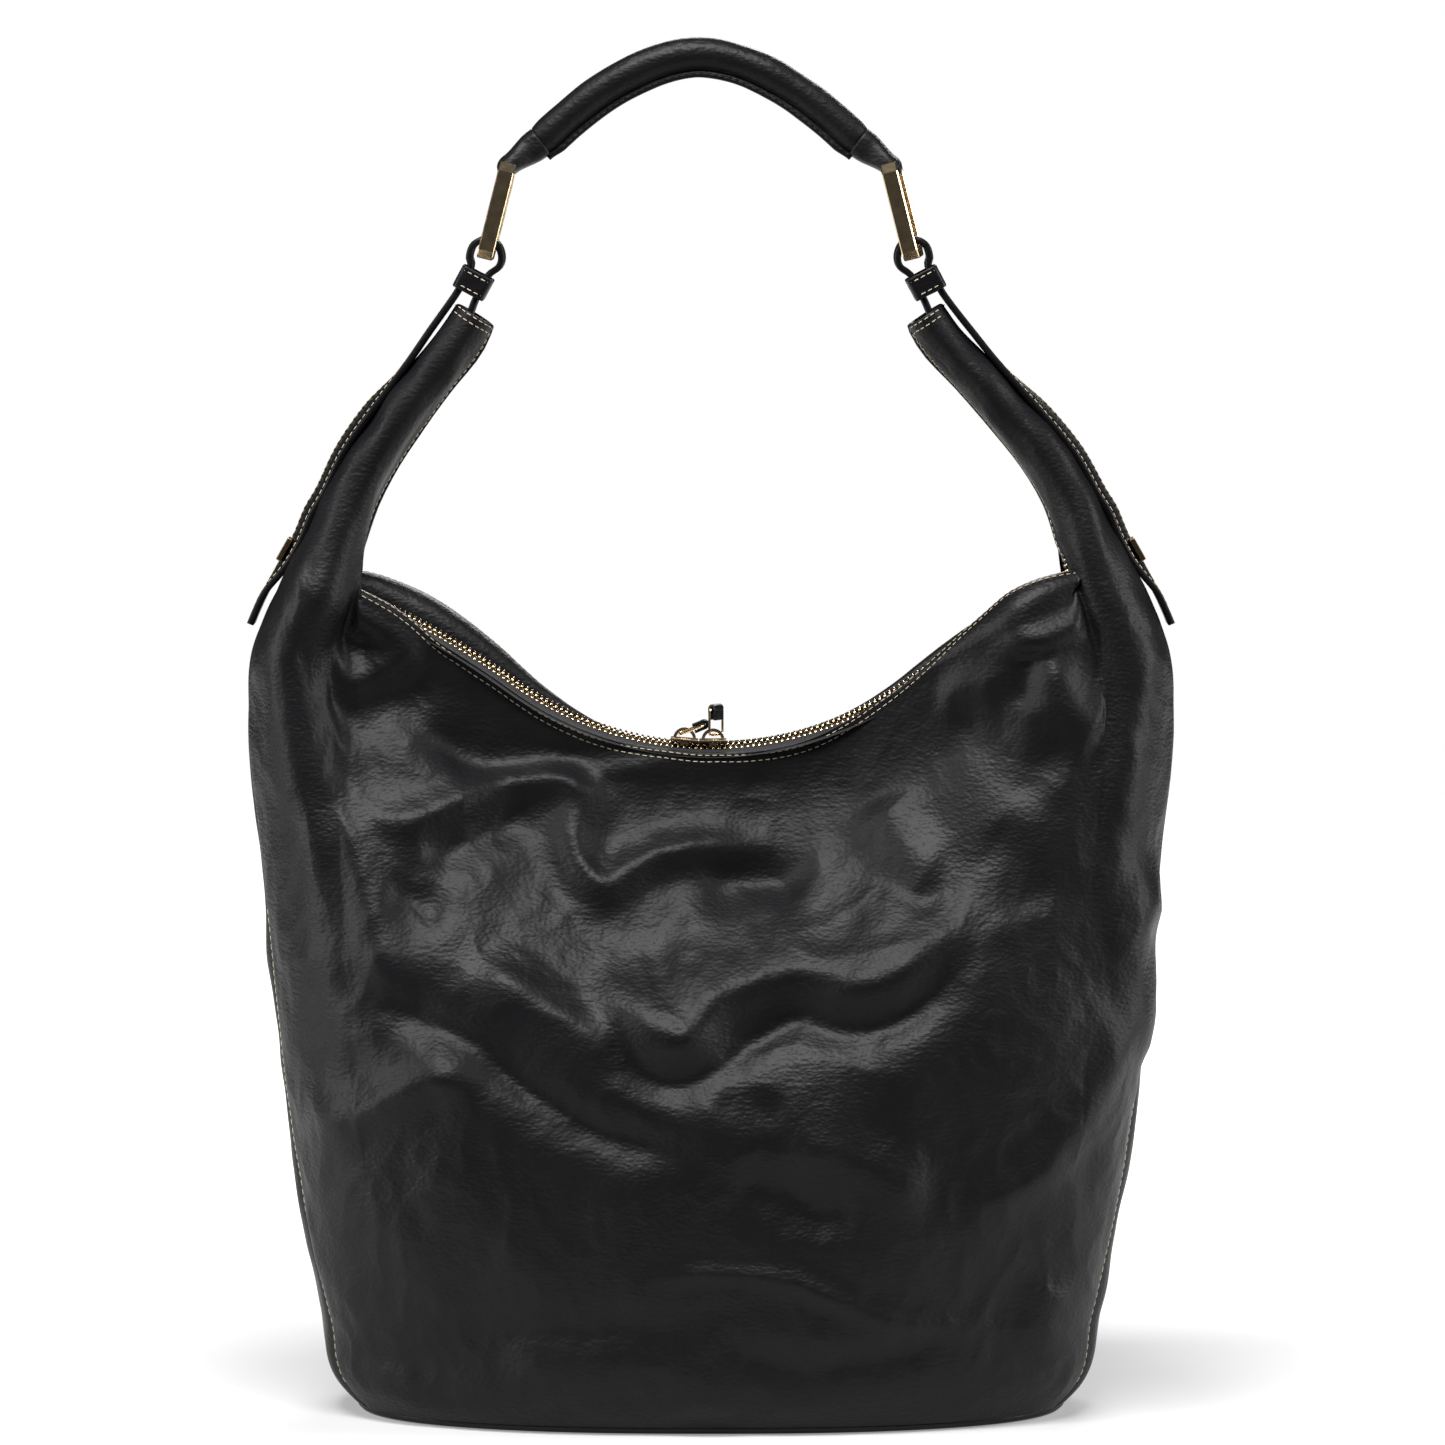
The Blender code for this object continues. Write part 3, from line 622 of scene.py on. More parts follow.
class Shell:
    """The bag's outer surface as a function, from the base to the mouth and up both horns."""

    SQUARENESS = 0.8
    ROLL_FROM = 0.95
    HORN_RUN = 0.42
    TIP_SHARE = 0.55
    LOW = 3.0 * MM
    ZIP_RADIUS = 0.135
    ZIP_CENTRE_Z = 0.401
    ZIP_ARC = math.radians(36)
    ZIP_EASE = 2.6
    FRONT_DROP = 3.0 * MM
    EDGE_OVERHANG = 1.6
    ZIP_RECESS = 0.78

    def __init__(self) -> None:
        """Read the curves."""
        self.width = Curve(HALF_WIDTH)
        self.depth = Curve(HALF_DEPTH)
        self.seam = Curve(SEAM)
        stations = np.array(HORN)
        runs = np.linalg.norm(np.diff(stations[:, :2], axis=0), axis=1)
        places = np.concatenate([[0], np.cumsum(runs)]) / runs.sum()
        self.horn = Curve(tuple((place, *row) for place, row in zip(places, stations)))
        self.lips = {key: Curve(knots) for key, knots in LIPS.items()}

    @staticmethod
    def zip_height(x: np.ndarray) -> np.ndarray:
        """Height of the zip across the mouth."""
        x = np.abs(x)
        corner = Shell.ZIP_RADIUS * math.sin(Shell.ZIP_ARC)
        arc = Shell.ZIP_CENTRE_Z - np.sqrt(Shell.ZIP_RADIUS ** 2 - np.minimum(x, corner) ** 2)
        run = np.maximum(x - corner, 0)
        return arc + run * math.tan(Shell.ZIP_ARC) - Shell.ZIP_EASE * run * run

    @staticmethod
    def slit(share: np.ndarray) -> np.ndarray:
        """Half the width between the two edges, at a share of the horn's length."""
        return (7.5 - 4.5 * ramp(share, 0.0, 0.35)) * MM

    def lip(self, face: np.ndarray, side: np.ndarray, where: np.ndarray) -> np.ndarray:
        """Height of the rolled edge; where is 0 to 1 along the mouth and 1 to 2 up the horn."""
        result = np.zeros(np.broadcast(face, side, where).shape)
        for (on_face, on_side), curve in self.lips.items():
            result = np.where((face == on_face) & (side == on_side), curve(where) * MM, result)
        return result

    def horn_frame(self, share: np.ndarray) -> tuple:
        """Centre, outward direction, half thickness and half depth of a horn at a share of its length."""
        now = self.horn(share)
        run = self.horn(np.clip(share + 0.02, 0, 1)) - self.horn(np.clip(share - 0.02, 0, 1))
        axis = units(run[..., :2])
        out = np.stack([axis[..., 1], -axis[..., 0]], axis=-1)
        return now[..., :2], out, axis, now[..., 2], now[..., 3]

    def opening(self, face: np.ndarray, side: np.ndarray, share: np.ndarray) -> np.ndarray:
        """Angle round a horn's section at which its leather starts."""
        reach = self.slit(share) + self.EDGE_OVERHANG * self.lip(face, side, 1 + share)
        return np.arcsin(np.clip(reach / self.horn_frame(share)[4], 0, 0.97))

    def point(self, angle: np.ndarray, rise: np.ndarray, face: np.ndarray) -> np.ndarray:
        """Points of the surface.

        Args:
            angle: 0 at the panel's middle, a quarter turn at the bag's sides, in radians.
            rise: 0 at the base, 1 at the rolled edge.
            face: -1 for the front and 1 for the back.

        Returns:
            World positions.
        """
        side = np.where(angle < 0, -1.0, 1.0)
        across = np.abs(np.sin(angle)) ** self.SQUARENESS
        root, _, _, thick, deep = self.horn_frame(np.zeros_like(across))
        start = self.opening(face, side, np.zeros_like(across))
        corner = root[..., 0] - thick * np.cos(start)
        corner_z = self.zip_height(corner)
        limit = corner / self.width(corner_z)
        q = np.clip((across - limit) / (1 - limit), 0, 1)
        top = np.full_like(across, 0.3)
        for _ in range(8):
            top = self.zip_height(np.minimum(across, limit) * self.width(top))
        mouth_x = np.minimum(across, limit) * self.width(top)
        top = np.where(q > 0, corner_z + (root[..., 1] - corner_z) * ramp(q, 0, 0.6), top)
        drop = np.where(side > 0, 1 - ramp(mouth_x, 0.03, 0.07), 1 - ramp(mouth_x, 0.105, 0.13))
        top = top - np.where(face < 0, self.FRONT_DROP * drop * (q <= 0), 0)

        share = np.clip(rise / self.ROLL_FROM, 0, 1)
        theta = np.clip((rise - self.ROLL_FROM) / (1 - self.ROLL_FROM), 0, 1) * math.pi - math.pi / 2
        reach = np.minimum(q / self.TIP_SHARE, 1)
        t = share * (1 + self.HORN_RUN * reach)
        h = np.clip((t - 1) / self.HORN_RUN, 0, 1)
        z = self.LOW + (top - self.LOW) * np.minimum(t, 1)
        lip = self.lip(face, side, np.where(q > 0, 1 + reach, mouth_x / corner))

        turn = start + (math.pi - start) * q
        edge_y = self.slit(np.zeros_like(q)) + self.EDGE_OVERHANG * lip
        rim_y = np.where(q > 0, deep * np.sin(turn), edge_y)
        rim_x = np.where(q > 0, root[..., 0] - thick * np.cos(turn), mouth_x)
        full = self.depth(z / top) * np.abs(np.cos(angle)) ** self.SQUARENESS
        depth = full + (rim_y - full) * ramp(z / top, 0.45, 1.0)
        x = self.width(z) * across + (rim_x - self.width(top) * across) * ramp(z / top, 0.8, 1.0)
        body = np.stack([x, depth, z], axis=-1)
        rim = np.stack([rim_x, rim_y, top], axis=-1)

        upper = self.on_horn(q, h, face, side)
        root_gap = rim - self.on_horn(q, np.zeros_like(h), face, side)
        upper = upper + root_gap * (1 - ramp(h, 0, 0.3))[..., None]
        place = np.where((t > 1)[..., None], upper, body)
        place = place + self.roll(q, reach, theta, lip, face, side)
        x, y, z = np.moveaxis(place, -1, 0)
        return np.stack([side * x + lean(z), face * y, z], axis=-1)

    def section_turn(self, q: np.ndarray, h: np.ndarray, face: np.ndarray, side: np.ndarray) -> np.ndarray:
        """Angle round a horn's section of a column of the leather at a share of the horn's length."""
        start = self.opening(face, side, h)
        used = np.minimum(self.TIP_SHARE * h, 0.999)
        return start + (math.pi - start) * np.clip((q - used) / (1 - used), 0, 1)

    def on_horn(self, q: np.ndarray, h: np.ndarray, face: np.ndarray, side: np.ndarray) -> np.ndarray:
        """Point on a horn in its own right-hand, front-facing terms."""
        centre, out, _, thick, deep = self.horn_frame(h)
        turn = self.section_turn(q, h, face, side)
        away = -(thick * np.cos(turn))[..., None] * out
        x, z = np.moveaxis(centre + away, -1, 0)
        return np.stack([x, deep * np.sin(turn), z], axis=-1)

    def roll(self, q: np.ndarray, h: np.ndarray, theta: np.ndarray, lip: np.ndarray, face: np.ndarray,
             side: np.ndarray) -> np.ndarray:
        """How far the rolled edge carries a point from the end of its column."""
        _, out, axis, _, _ = self.horn_frame(h)
        turn = self.section_turn(q, h, face, side)
        on_horn, at_tip = ramp(q, 0, 0.12), ramp(q, self.TIP_SHARE - 0.05, self.TIP_SHARE + 0.05)
        zero = np.zeros_like(q)
        mouth_up = np.stack([zero, zero, zero + 1], axis=-1)
        slit_up = np.stack([-out[..., 0], zero, -out[..., 1]], axis=-1)
        tip_up = np.stack([axis[..., 0], zero, axis[..., 1]], axis=-1)
        inward = np.stack([zero, zero - 1, zero], axis=-1)
        tip_in = np.stack([out[..., 0] * np.cos(turn), -np.sin(turn), out[..., 1] * np.cos(turn)], axis=-1)
        a, b = on_horn[..., None], at_tip[..., None]
        up = mouth_up * (1 - a) + (slit_up * (1 - b) + tip_up * b) * a
        over = inward * (1 - b) + tip_in * b
        return over * (0.8 * lip * (1 + np.sin(theta)))[..., None] + up * (lip * np.cos(theta))[..., None]

    def zip_line(self) -> np.ndarray:
        """The zip's middle line: across the mouth and a good way up each horn."""
        x = np.linspace(0, 0.1395, 120)
        mouth = np.stack([x, self.zip_height(x)], axis=1)
        centre, out, _, thick, _ = self.horn_frame(np.linspace(0.06, 0.88, 60))
        horn = centre - out * thick[:, None] * self.ZIP_RECESS
        half = smoothed(resample(np.vstack([mouth, horn]), 1.0 * MM), 4)
        right = np.stack([half[:, 0] + lean(half[:, 1]), half[:, 1]], axis=1)
        left = np.stack([-half[:, 0] + lean(half[:, 1]), half[:, 1]], axis=1)
        line = np.vstack([left[:0:-1], right])
        return np.stack([line[:, 0], np.zeros(len(line)), line[:, 1]], axis=1)


@dataclass(frozen=True)
class PanelSize:
    """How finely a panel is made."""

    columns: int
    rows: int


class Panel:
    """One sewn panel of the skin."""

    SEAM_REACH = 3.0 * MM
    SEAM_FADE = 9.0 * MM
    UNDER_EDGE = 0.975

    def __init__(self, shell: Shell, size: PanelSize) -> None:
        """Keep the shell and the grid's size."""
        self.shell = shell
        self.rise = np.linspace(0, 1, size.rows)
        self.across = np.linspace(-1, 1, size.columns)
        self.points = np.zeros((size.rows, size.columns, 3))

    def seam_angle(self) -> np.ndarray:
        """Angle of the side seam at each row."""
        return np.radians(self.shell.seam(self.rise))[:, None]

    @staticmethod
    def runs(rows: np.ndarray) -> np.ndarray:
        """Distance along each row at each of its points."""
        return np.stack([travelled(row) for row in rows])

    def edge_distance(self) -> np.ndarray:
        """Distance of each point from the nearer side edge, along its row."""
        run = self.runs(self.points)
        return np.minimum(run, run[:, -1:] - run)

    def press(self, lift: np.ndarray, seam_depth: float) -> None:
        """Move the leather by a lift in metres, faded at the seams, and sink it along them."""
        edge = self.edge_distance()
        fade = ramp(edge, 0.0, self.SEAM_FADE)
        groove = -seam_depth * np.exp(-((edge / self.SEAM_REACH) ** 1.5))
        move = lift * fade + groove
        self.points = self.points + surface_normals(self.points) * move[..., None]

    def line_from_side(self, distance: float, far: bool) -> np.ndarray:
        """A line that runs up the panel at a distance from one side edge."""
        rows = self.points[:, ::-1] if far else self.points
        return self.inset(rows, distance)

    def from_top(self, grid: np.ndarray) -> np.ndarray:
        """The columns of a grid, read downwards from just under the rolled edge."""
        return np.swapaxes(grid[int(len(grid) * self.UNDER_EDGE)::-1], 0, 1)

    def line_from_top(self, distance: float) -> np.ndarray:
        """A line that runs along the panel at a distance below its rolled edge."""
        return self.inset(self.from_top(self.points), distance)

    def inset(self, rows: np.ndarray, distance: float) -> np.ndarray:
        """The point at a distance along each row."""
        return np.array([[np.interp(distance, run, row[:, k]) for k in range(3)]
                         for run, row in zip(self.runs(rows), rows)])

    def item(self, name: str, material: bpy.types.Material) -> bpy.types.Object:
        """The panel's mesh."""
        rows, columns = self.points.shape[:2]
        return make_item(name, self.points.reshape(-1, 3), grid_faces(rows, columns), material)


class BroadPanel(Panel):
    """The front or the back, folded and creased."""

    SPREAD = 1.3
    BACK_SHIFT = 7.0
    BACK_SHARE = 0.8
    CORNER = (0.147, 0.022, 0.334)
    CORNER_REACH = 0.026
    CREASE_REACH = 0.014

    def __init__(self, shell: Shell, size: PanelSize, face: Face) -> None:
        """Lay out the smooth panel for a face."""
        super().__init__(shell, size)
        self.face = face
        limit = np.sin(self.seam_angle()) ** Shell.SQUARENESS
        spread = np.sin(np.abs(self.across) * self.SPREAD)[None, :] / math.sin(self.SPREAD) * limit
        angle = np.arcsin(np.clip(spread ** (1 / Shell.SQUARENESS), 0, 1)) * np.sign(self.across)[None, :]
        angle = angle * -face.value
        rise = np.broadcast_to(self.rise[:, None], angle.shape)
        self.points = shell.point(angle, rise, np.full(angle.shape, face.value))

    def dress(self, name: str, material: bpy.types.Material) -> bpy.types.Object:
        """Fold the panel and make its mesh."""
        x, z = self.points[..., 0] / MM, self.points[..., 2] / MM
        shift, share = (0.0, 1.0) if self.face is Face.FRONT else (self.BACK_SHIFT, self.BACK_SHARE)
        lift = np.zeros(x.shape)
        for fold in FOLDS:
            lift += fold.lift(x * -self.face.value, z + shift) * share
        lift = relaxed(lift, 8)
        seed = 4.0 if self.face is Face.FRONT else 9.0
        lift += 3.0 * grain(self.points, (15, 15, 15), seed)
        lift += 1.5 * grain(self.points, (38, 38, 30), seed + 1)
        lift -= 0.9 * np.abs(grain(self.points, (70, 70, 55), seed + 4)) ** 0.8
        lift += 0.22 * grain(self.points, (170, 170, 120), seed + 2)
        horn = ramp(self.points[..., 2], 0.335, 0.365)
        lengthways = grain(self.points, (85, 85, 22), seed + 3)
        lift = lift * (1 - 0.6 * horn) + horn * 1.6 * lengthways
        edge = 1 - 0.85 * ramp(self.rise, 0.90, 0.955)
        low = ramp(self.points[..., 2], 0.002, 0.016)
        self.soften_corners()
        self.press(lift * MM * edge[:, None] * low, 1.6 * MM)
        return self.item(name, material)

    def soften_corners(self) -> None:
        """Relax the leather where the mouth turns up into each horn."""
        soft = relaxed(self.points, 60)
        for side in (-1.0, 1.0):
            corner = np.array(self.CORNER) * np.array([side, self.face.value, 1.0])
            gap = np.linalg.norm(self.points - corner, axis=2)
            x, z = self.points[..., 0], self.points[..., 2]
            below = np.exp(-(((x - corner[0]) / self.CREASE_REACH) ** 2)) * ramp(z, 0.16, 0.26)
            below = below * (1 - ramp(z, 0.335, 0.36))
            share = np.maximum(np.exp(-((gap / self.CORNER_REACH) ** 2)), below)
            share = (share * (1 - ramp(self.rise, 0.93, 0.96))[:, None])[..., None]
            self.points = self.points * (1 - share) + soft * share


class Gusset(Panel):
    """The narrow panel at one end of the bag."""

    def __init__(self, shell: Shell, size: PanelSize, side: float) -> None:
        """Lay out the smooth gusset for a side."""
        super().__init__(shell, size)
        angle = math.pi / 2 - np.abs(self.across)[None, :] * (math.pi / 2 - self.seam_angle())
        face = np.where(self.across * side < 0, -1.0, 1.0)
        rise = np.broadcast_to(self.rise[:, None], angle.shape)
        self.points = shell.point(angle * side, rise, np.broadcast_to(face[None, :], angle.shape))
        self.side = side

    def dress(self, name: str, material: bpy.types.Material) -> bpy.types.Object:
        """Crease the gusset and make its mesh."""
        lift = 2.0 * grain(self.points, (30, 30, 22), 14 + self.side)
        lift += 0.6 * grain(self.points, (80, 80, 60), 17 + self.side)
        above = 1 - ramp(self.points[..., 2], 0.30, 0.34)
        low = ramp(self.points[..., 2], 0.002, 0.016)
        self.press(lift * MM * low * (0.25 + 0.75 * above), 1.8 * MM)
        return self.item(name, material)


class Body:
    """The skin of the bag with its seams, stitches and base."""

    FRONT_SIZE = PanelSize(columns=321, rows=300)
    GUSSET_SIZE = PanelSize(columns=41, rows=300)
    MOUTH_ROWS = (1.6 * MM, 4.2 * MM)
    SEAM_ROW = 3.6 * MM
    SEAM_HEIGHT = 0.42
    LINING_FIT = (0.86, 0.66, 0.90)
    LINING_LIFT = 2.6 * MM
    BASE_RINGS = ((0.975, 5.0), (0.992, 3.2), (0.994, 1.6), (0.985, 0.5), (0.965, 0.15), (0.8, 0.1),
                  (0.5, 0.1), (0.02, 0.1))

    def __init__(self, shell: Shell, finishes: Finishes) -> None:
        """Keep what the body is made from."""
        self.shell = shell
        self.finishes = finishes

    def build(self) -> None:
        """Make every piece of the body."""
        for face, name in ((Face.FRONT, "front"), (Face.BACK, "back")):
            panel = BroadPanel(self.shell, self.FRONT_SIZE, face)
            item = panel.dress(name + "_skin", self.finishes.leather)
            Piece("leather", "skin", (name + "_panel",)).fit(item)
            self.stitch(panel, name)
        for side, name in ((-1.0, "left"), (1.0, "right")):
            gusset = Gusset(self.shell, self.GUSSET_SIZE, side)
            item = gusset.dress(f"gusset_{name}_skin", self.finishes.leather)
            Piece("leather", "skin", ("gusset_" + name, "horn_" + name)).fit(item)
        self.lining()
        self.base()

    def stitch(self, panel: BroadPanel, name: str) -> None:
        """Two rows along the mouth and up the horns, and one beside each seam."""
        outward = surface_normals(panel.points)
        up = panel.from_top(outward)[:, 0]
        for index, distance in enumerate(self.MOUTH_ROWS):
            line = panel.line_from_top(distance)
            inner = slice(8, len(line) - 8)
            item = FINE_STITCH.mesh(f"mouth_stitches_{name}_{index + 1}", line[inner], up[inner],
                                    self.finishes.thread)
            Piece("core", "skin").fit(item)
        for far, label in ((False, "a"), (True, "b")):
            line = panel.line_from_side(self.SEAM_ROW, far)
            columns = outward[:, ::-1] if far else outward
            span = slice(6, int(len(line) * self.SEAM_HEIGHT))
            item = STITCH.mesh(f"seam_stitches_{name}_{label}", line[span], columns[span, 6],
                               self.finishes.thread)
            Piece("core", "skin").fit(item)

    def ring(self, count: int, rise: float) -> np.ndarray:
        """Points right round the shell at one rise."""
        angle = np.linspace(0, TAU, count + 1)[:-1]
        fold = np.arcsin(np.clip(np.sin(angle), -1, 1))
        face = np.where(np.cos(angle) >= 0, -1.0, 1.0)
        return self.shell.point(fold, np.full_like(angle, rise), face)

    def lining(self) -> None:
        """A plain cloth bag inside the leather, clear of its folds."""
        rings = []
        for rise in (0.0, *np.linspace(0.0, 0.62, 30)):
            ring = self.ring(120, rise) * np.array(self.LINING_FIT) + np.array([0, 0, self.LINING_LIFT])
            rings.append(ring * (np.array([0.02, 0.02, 1.0]) if not rings else 1.0))
        item = loft("lining_cloth", np.array(rings), self.finishes.lining, caps=False)
        Piece("lining", "bag", ("lining",)).fit(item)

    def base(self) -> None:
        """The base panel: a flat leather bottom with a soft edge."""
        outline = self.ring(160, 0.0)
        rings = []
        for share, z in self.BASE_RINGS:
            ring = outline * share
            ring[:, 2] = z * MM
            rings.append(ring)
        item = loft("base_leather", np.array(rings), self.finishes.trim)
        Piece("leather", "bag", ("base_panel",)).fit(item)


# ---------------------------------------------------------------- zip


class Zip:
    """Teeth and tapes along the mouth and up the horns."""

    ROW_SHIFT = 1.15 * MM
    TOOTH_TILT = -0.85
    TAPE_DROP = 8.0 * MM
    TAPE_TILT = {"front": 0.36, "back": 0.02}
    TAPE_STEPS = ((0.0, -0.2), (0.08, -0.5), (0.5, -0.7), (1.0, -0.9))
    STOPS = {"front": "left", "back": "right"}

    def __init__(self, shell: Shell, finishes: Finishes) -> None:
        """Keep what the zip is made from."""
        self.finishes = finishes
        self.line = shell.zip_line()
        ahead = units(np.gradient(self.line, axis=0))
        self.up = np.cross(ahead, ACROSS)
        self.up *= np.sign(self.up[len(self.up) // 2, 2])

    def build(self) -> None:
        """Make both halves of the zip."""
        for sign, name, phase in ((-1.0, "front", 0.0), (1.0, "back", 0.5)):
            self.tape(sign, name)
            tilted = self.up + ACROSS * self.TOOTH_TILT
            item = TOOTH.mesh("zip_teeth_" + name + "_row", self.line, tilted, self.finishes.gold,
                              ((sign * self.ROW_SHIFT, phase),))
            Piece("gold", "skin", ("zip_teeth_" + name, "zip_stop_" + self.STOPS[name])).fit(item)

    def tape(self, sign: float, name: str) -> None:
        """One woven tape, from the teeth to under the leather's edge."""
        count = len(self.line)
        middle = np.abs(np.arange(count) - count / 2) / (count / 2)
        reach = (10.0 - 5.0 * ramp(middle, 0.58, 0.80)) * MM
        columns = []
        for share, sink in self.TAPE_STEPS:
            point = self.line + self.up * (sink * MM - self.TAPE_TILT[name] * share * self.TAPE_DROP)
            point[:, 1] = sign * share * reach
            columns.append(point)
        grid = np.stack(columns, axis=1)
        if sign < 0:
            grid = grid[:, ::-1]
        faces = grid_faces(count, len(columns))
        item = make_item("zip_tape_" + name + "_cloth", grid.reshape(-1, 3), faces, self.finishes.zip_tape)
        Piece("zip_tape", "skin", ("zip_tape_" + name,)).fit(item)


# ---------------------------------------------------------------- straps and keepers


STRAP_ROUTE = (
    (0.0935, 0.4340), (0.0912, 0.4395), (0.0889, 0.4450), (0.0842, 0.4538), (0.0797, 0.4575),
    (0.0786, 0.4617), (0.0804, 0.4664), (0.0850, 0.4684), (0.0896, 0.4664), (0.0914, 0.4617),
    (0.0910, 0.4574), (0.0957, 0.4486), (0.0995, 0.4430), (0.1074, 0.4325), (0.1196, 0.4165),
    (0.1344, 0.4005), (0.1466, 0.3845), (0.1552, 0.3682), (0.1600, 0.3602), (0.1648, 0.3490),
    (0.1708, 0.3385), (0.1776, 0.3285), (0.1815, 0.3205), (0.1836, 0.3155))


@dataclass(frozen=True)
class StrapSize:
    """The flat straps that hold the links."""

    half_width: float = 9.0 * MM
    thickness: float = 2.7 * MM
    edge: float = 0.7 * MM
    twist: float = math.radians(11)
    stitch_inset: float = 1.9 * MM


class Strap:
    """One strap: round the link's bar, through the keeper, and down the bag's side."""

    def __init__(self, side: float, name: str, size: StrapSize, finishes: Finishes) -> None:
        """Lay out the strap's line."""
        self.side = side
        self.name = name
        self.size = size
        self.finishes = finishes
        knots = tuple((i, *place) for i, place in enumerate(STRAP_ROUTE))
        route = resample(Curve(knots)(np.linspace(0, len(STRAP_ROUTE) - 1, 400)), 1.2 * MM)
        x, z = route.T
        self.line = np.stack([side * x + lean(z), np.zeros(len(route)), z], axis=1)
        self.ahead = units(np.gradient(self.line, axis=0))
        self.out = np.stack([self.ahead[:, 2], np.zeros(len(route)), -self.ahead[:, 0]], axis=1) * -side
        share = np.linspace(0, 1, len(route))
        self.turn = size.twist * ramp(share, 0.46, 0.58) * (1 - ramp(share, 0.86, 0.95))

    def at(self, across: float, height: float) -> np.ndarray:
        """Line at a place across the strap and a height over its middle."""
        a = across * np.cos(self.turn) + height * np.sin(-self.turn)
        b = height * np.cos(self.turn) + across * np.sin(self.turn)
        return self.line + self.out * b[:, None] + ACROSS * a[:, None]

    def build(self) -> None:
        """Make the strap and its stitches."""
        w, t, e = self.size.half_width, self.size.thickness / 2, self.size.edge
        side, end = w - e * 0.2, t - e * 0.8
        outline = ((w - e, t), (-w + e, t), (-side, end), (-side, -end), (-w + e, -t), (w - e, -t),
                   (side, -end), (side, end))
        rings = np.stack([self.at(a, b) for a, b in outline], axis=1)
        item = loft(f"strap_{self.name}_leather", rings, self.finishes.trim, sharp=50)
        Piece("leather", "carry", (f"strap_{self.name}",)).fit(item)
        face = 1.0 if self.is_outer() else -1.0
        for index, across in enumerate((-w + self.size.stitch_inset, w - self.size.stitch_inset)):
            path = self.at(across, face * (t + 0.05 * MM))
            span = slice(int(len(path) * 0.45), len(path) - 4)
            up = self.out[span] * face
            threads = FINE_STITCH.mesh(f"strap_{self.name}_stitches_{index + 1}", path[span], up,
                                       self.finishes.thread)
            Piece("core", "carry").fit(threads)

    def is_outer(self) -> bool:
        """Whether the out direction points away from the bag on the long outer run."""
        return bool(self.out[int(len(self.out) * 0.75), 0] * self.side > 0)


class Carry:
    """The straps, keepers and the stitches on them."""

    KEEPER_PLACE = (0.0899, 0.4512)
    KEEPER_AXIS = (0.47, -0.88)
    KEEPER_HALF = 6.9 * MM
    KEEPER_ROWS = (-3.0 * MM, 3.0 * MM)

    def __init__(self, finishes: Finishes) -> None:
        """Keep the finishes."""
        self.finishes = finishes

    def build(self) -> None:
        """Make both sides."""
        for side, name in ((-1.0, "left"), (1.0, "right")):
            Strap(side, name, StrapSize(), self.finishes).build()
            keeper = soft_copy("keeper_" + name, 0.4 * MM, self.finishes.trim)
            Piece("leather", "carry", ("keeper_" + name,)).fit(keeper)
            self.keeper_stitches(side, name)

    def keeper_stitches(self, side: float, name: str) -> None:
        """Two rows of stitches round a keeper."""
        x, z = self.KEEPER_PLACE
        centre = np.array([side * x + float(lean(z)), 0, z])
        axis = units(np.array([side * self.KEEPER_AXIS[0], 0, self.KEEPER_AXIS[1]]))
        wide = np.cross(axis, ACROSS)
        low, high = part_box("keeper_" + name)
        half_y = (high[1] - low[1]) / 2
        a, b = (wave[:, None] for wave in rounded_square(np.linspace(0, TAU, 121), 0.35))
        around = wide * (a * self.KEEPER_HALF) + ACROSS * (b * half_y)
        up = units(wide * a ** 3 + ACROSS * b ** 3)
        for index, along in enumerate(self.KEEPER_ROWS):
            path = centre + axis * along + around
            item = FINE_STITCH.mesh(f"keeper_{name}_stitches_{index + 1}", path, up, self.finishes.thread)
            Piece("core", "carry").fit(item)


# ---------------------------------------------------------------- handle


@dataclass(frozen=True)
class HandleSize:
    """The rolled handle's arch."""

    top: float = 0.5420
    drop: float = 0.0415
    span: float = 0.0700
    power: float = 1.8
    end: float = 0.93
    stations: int = 160


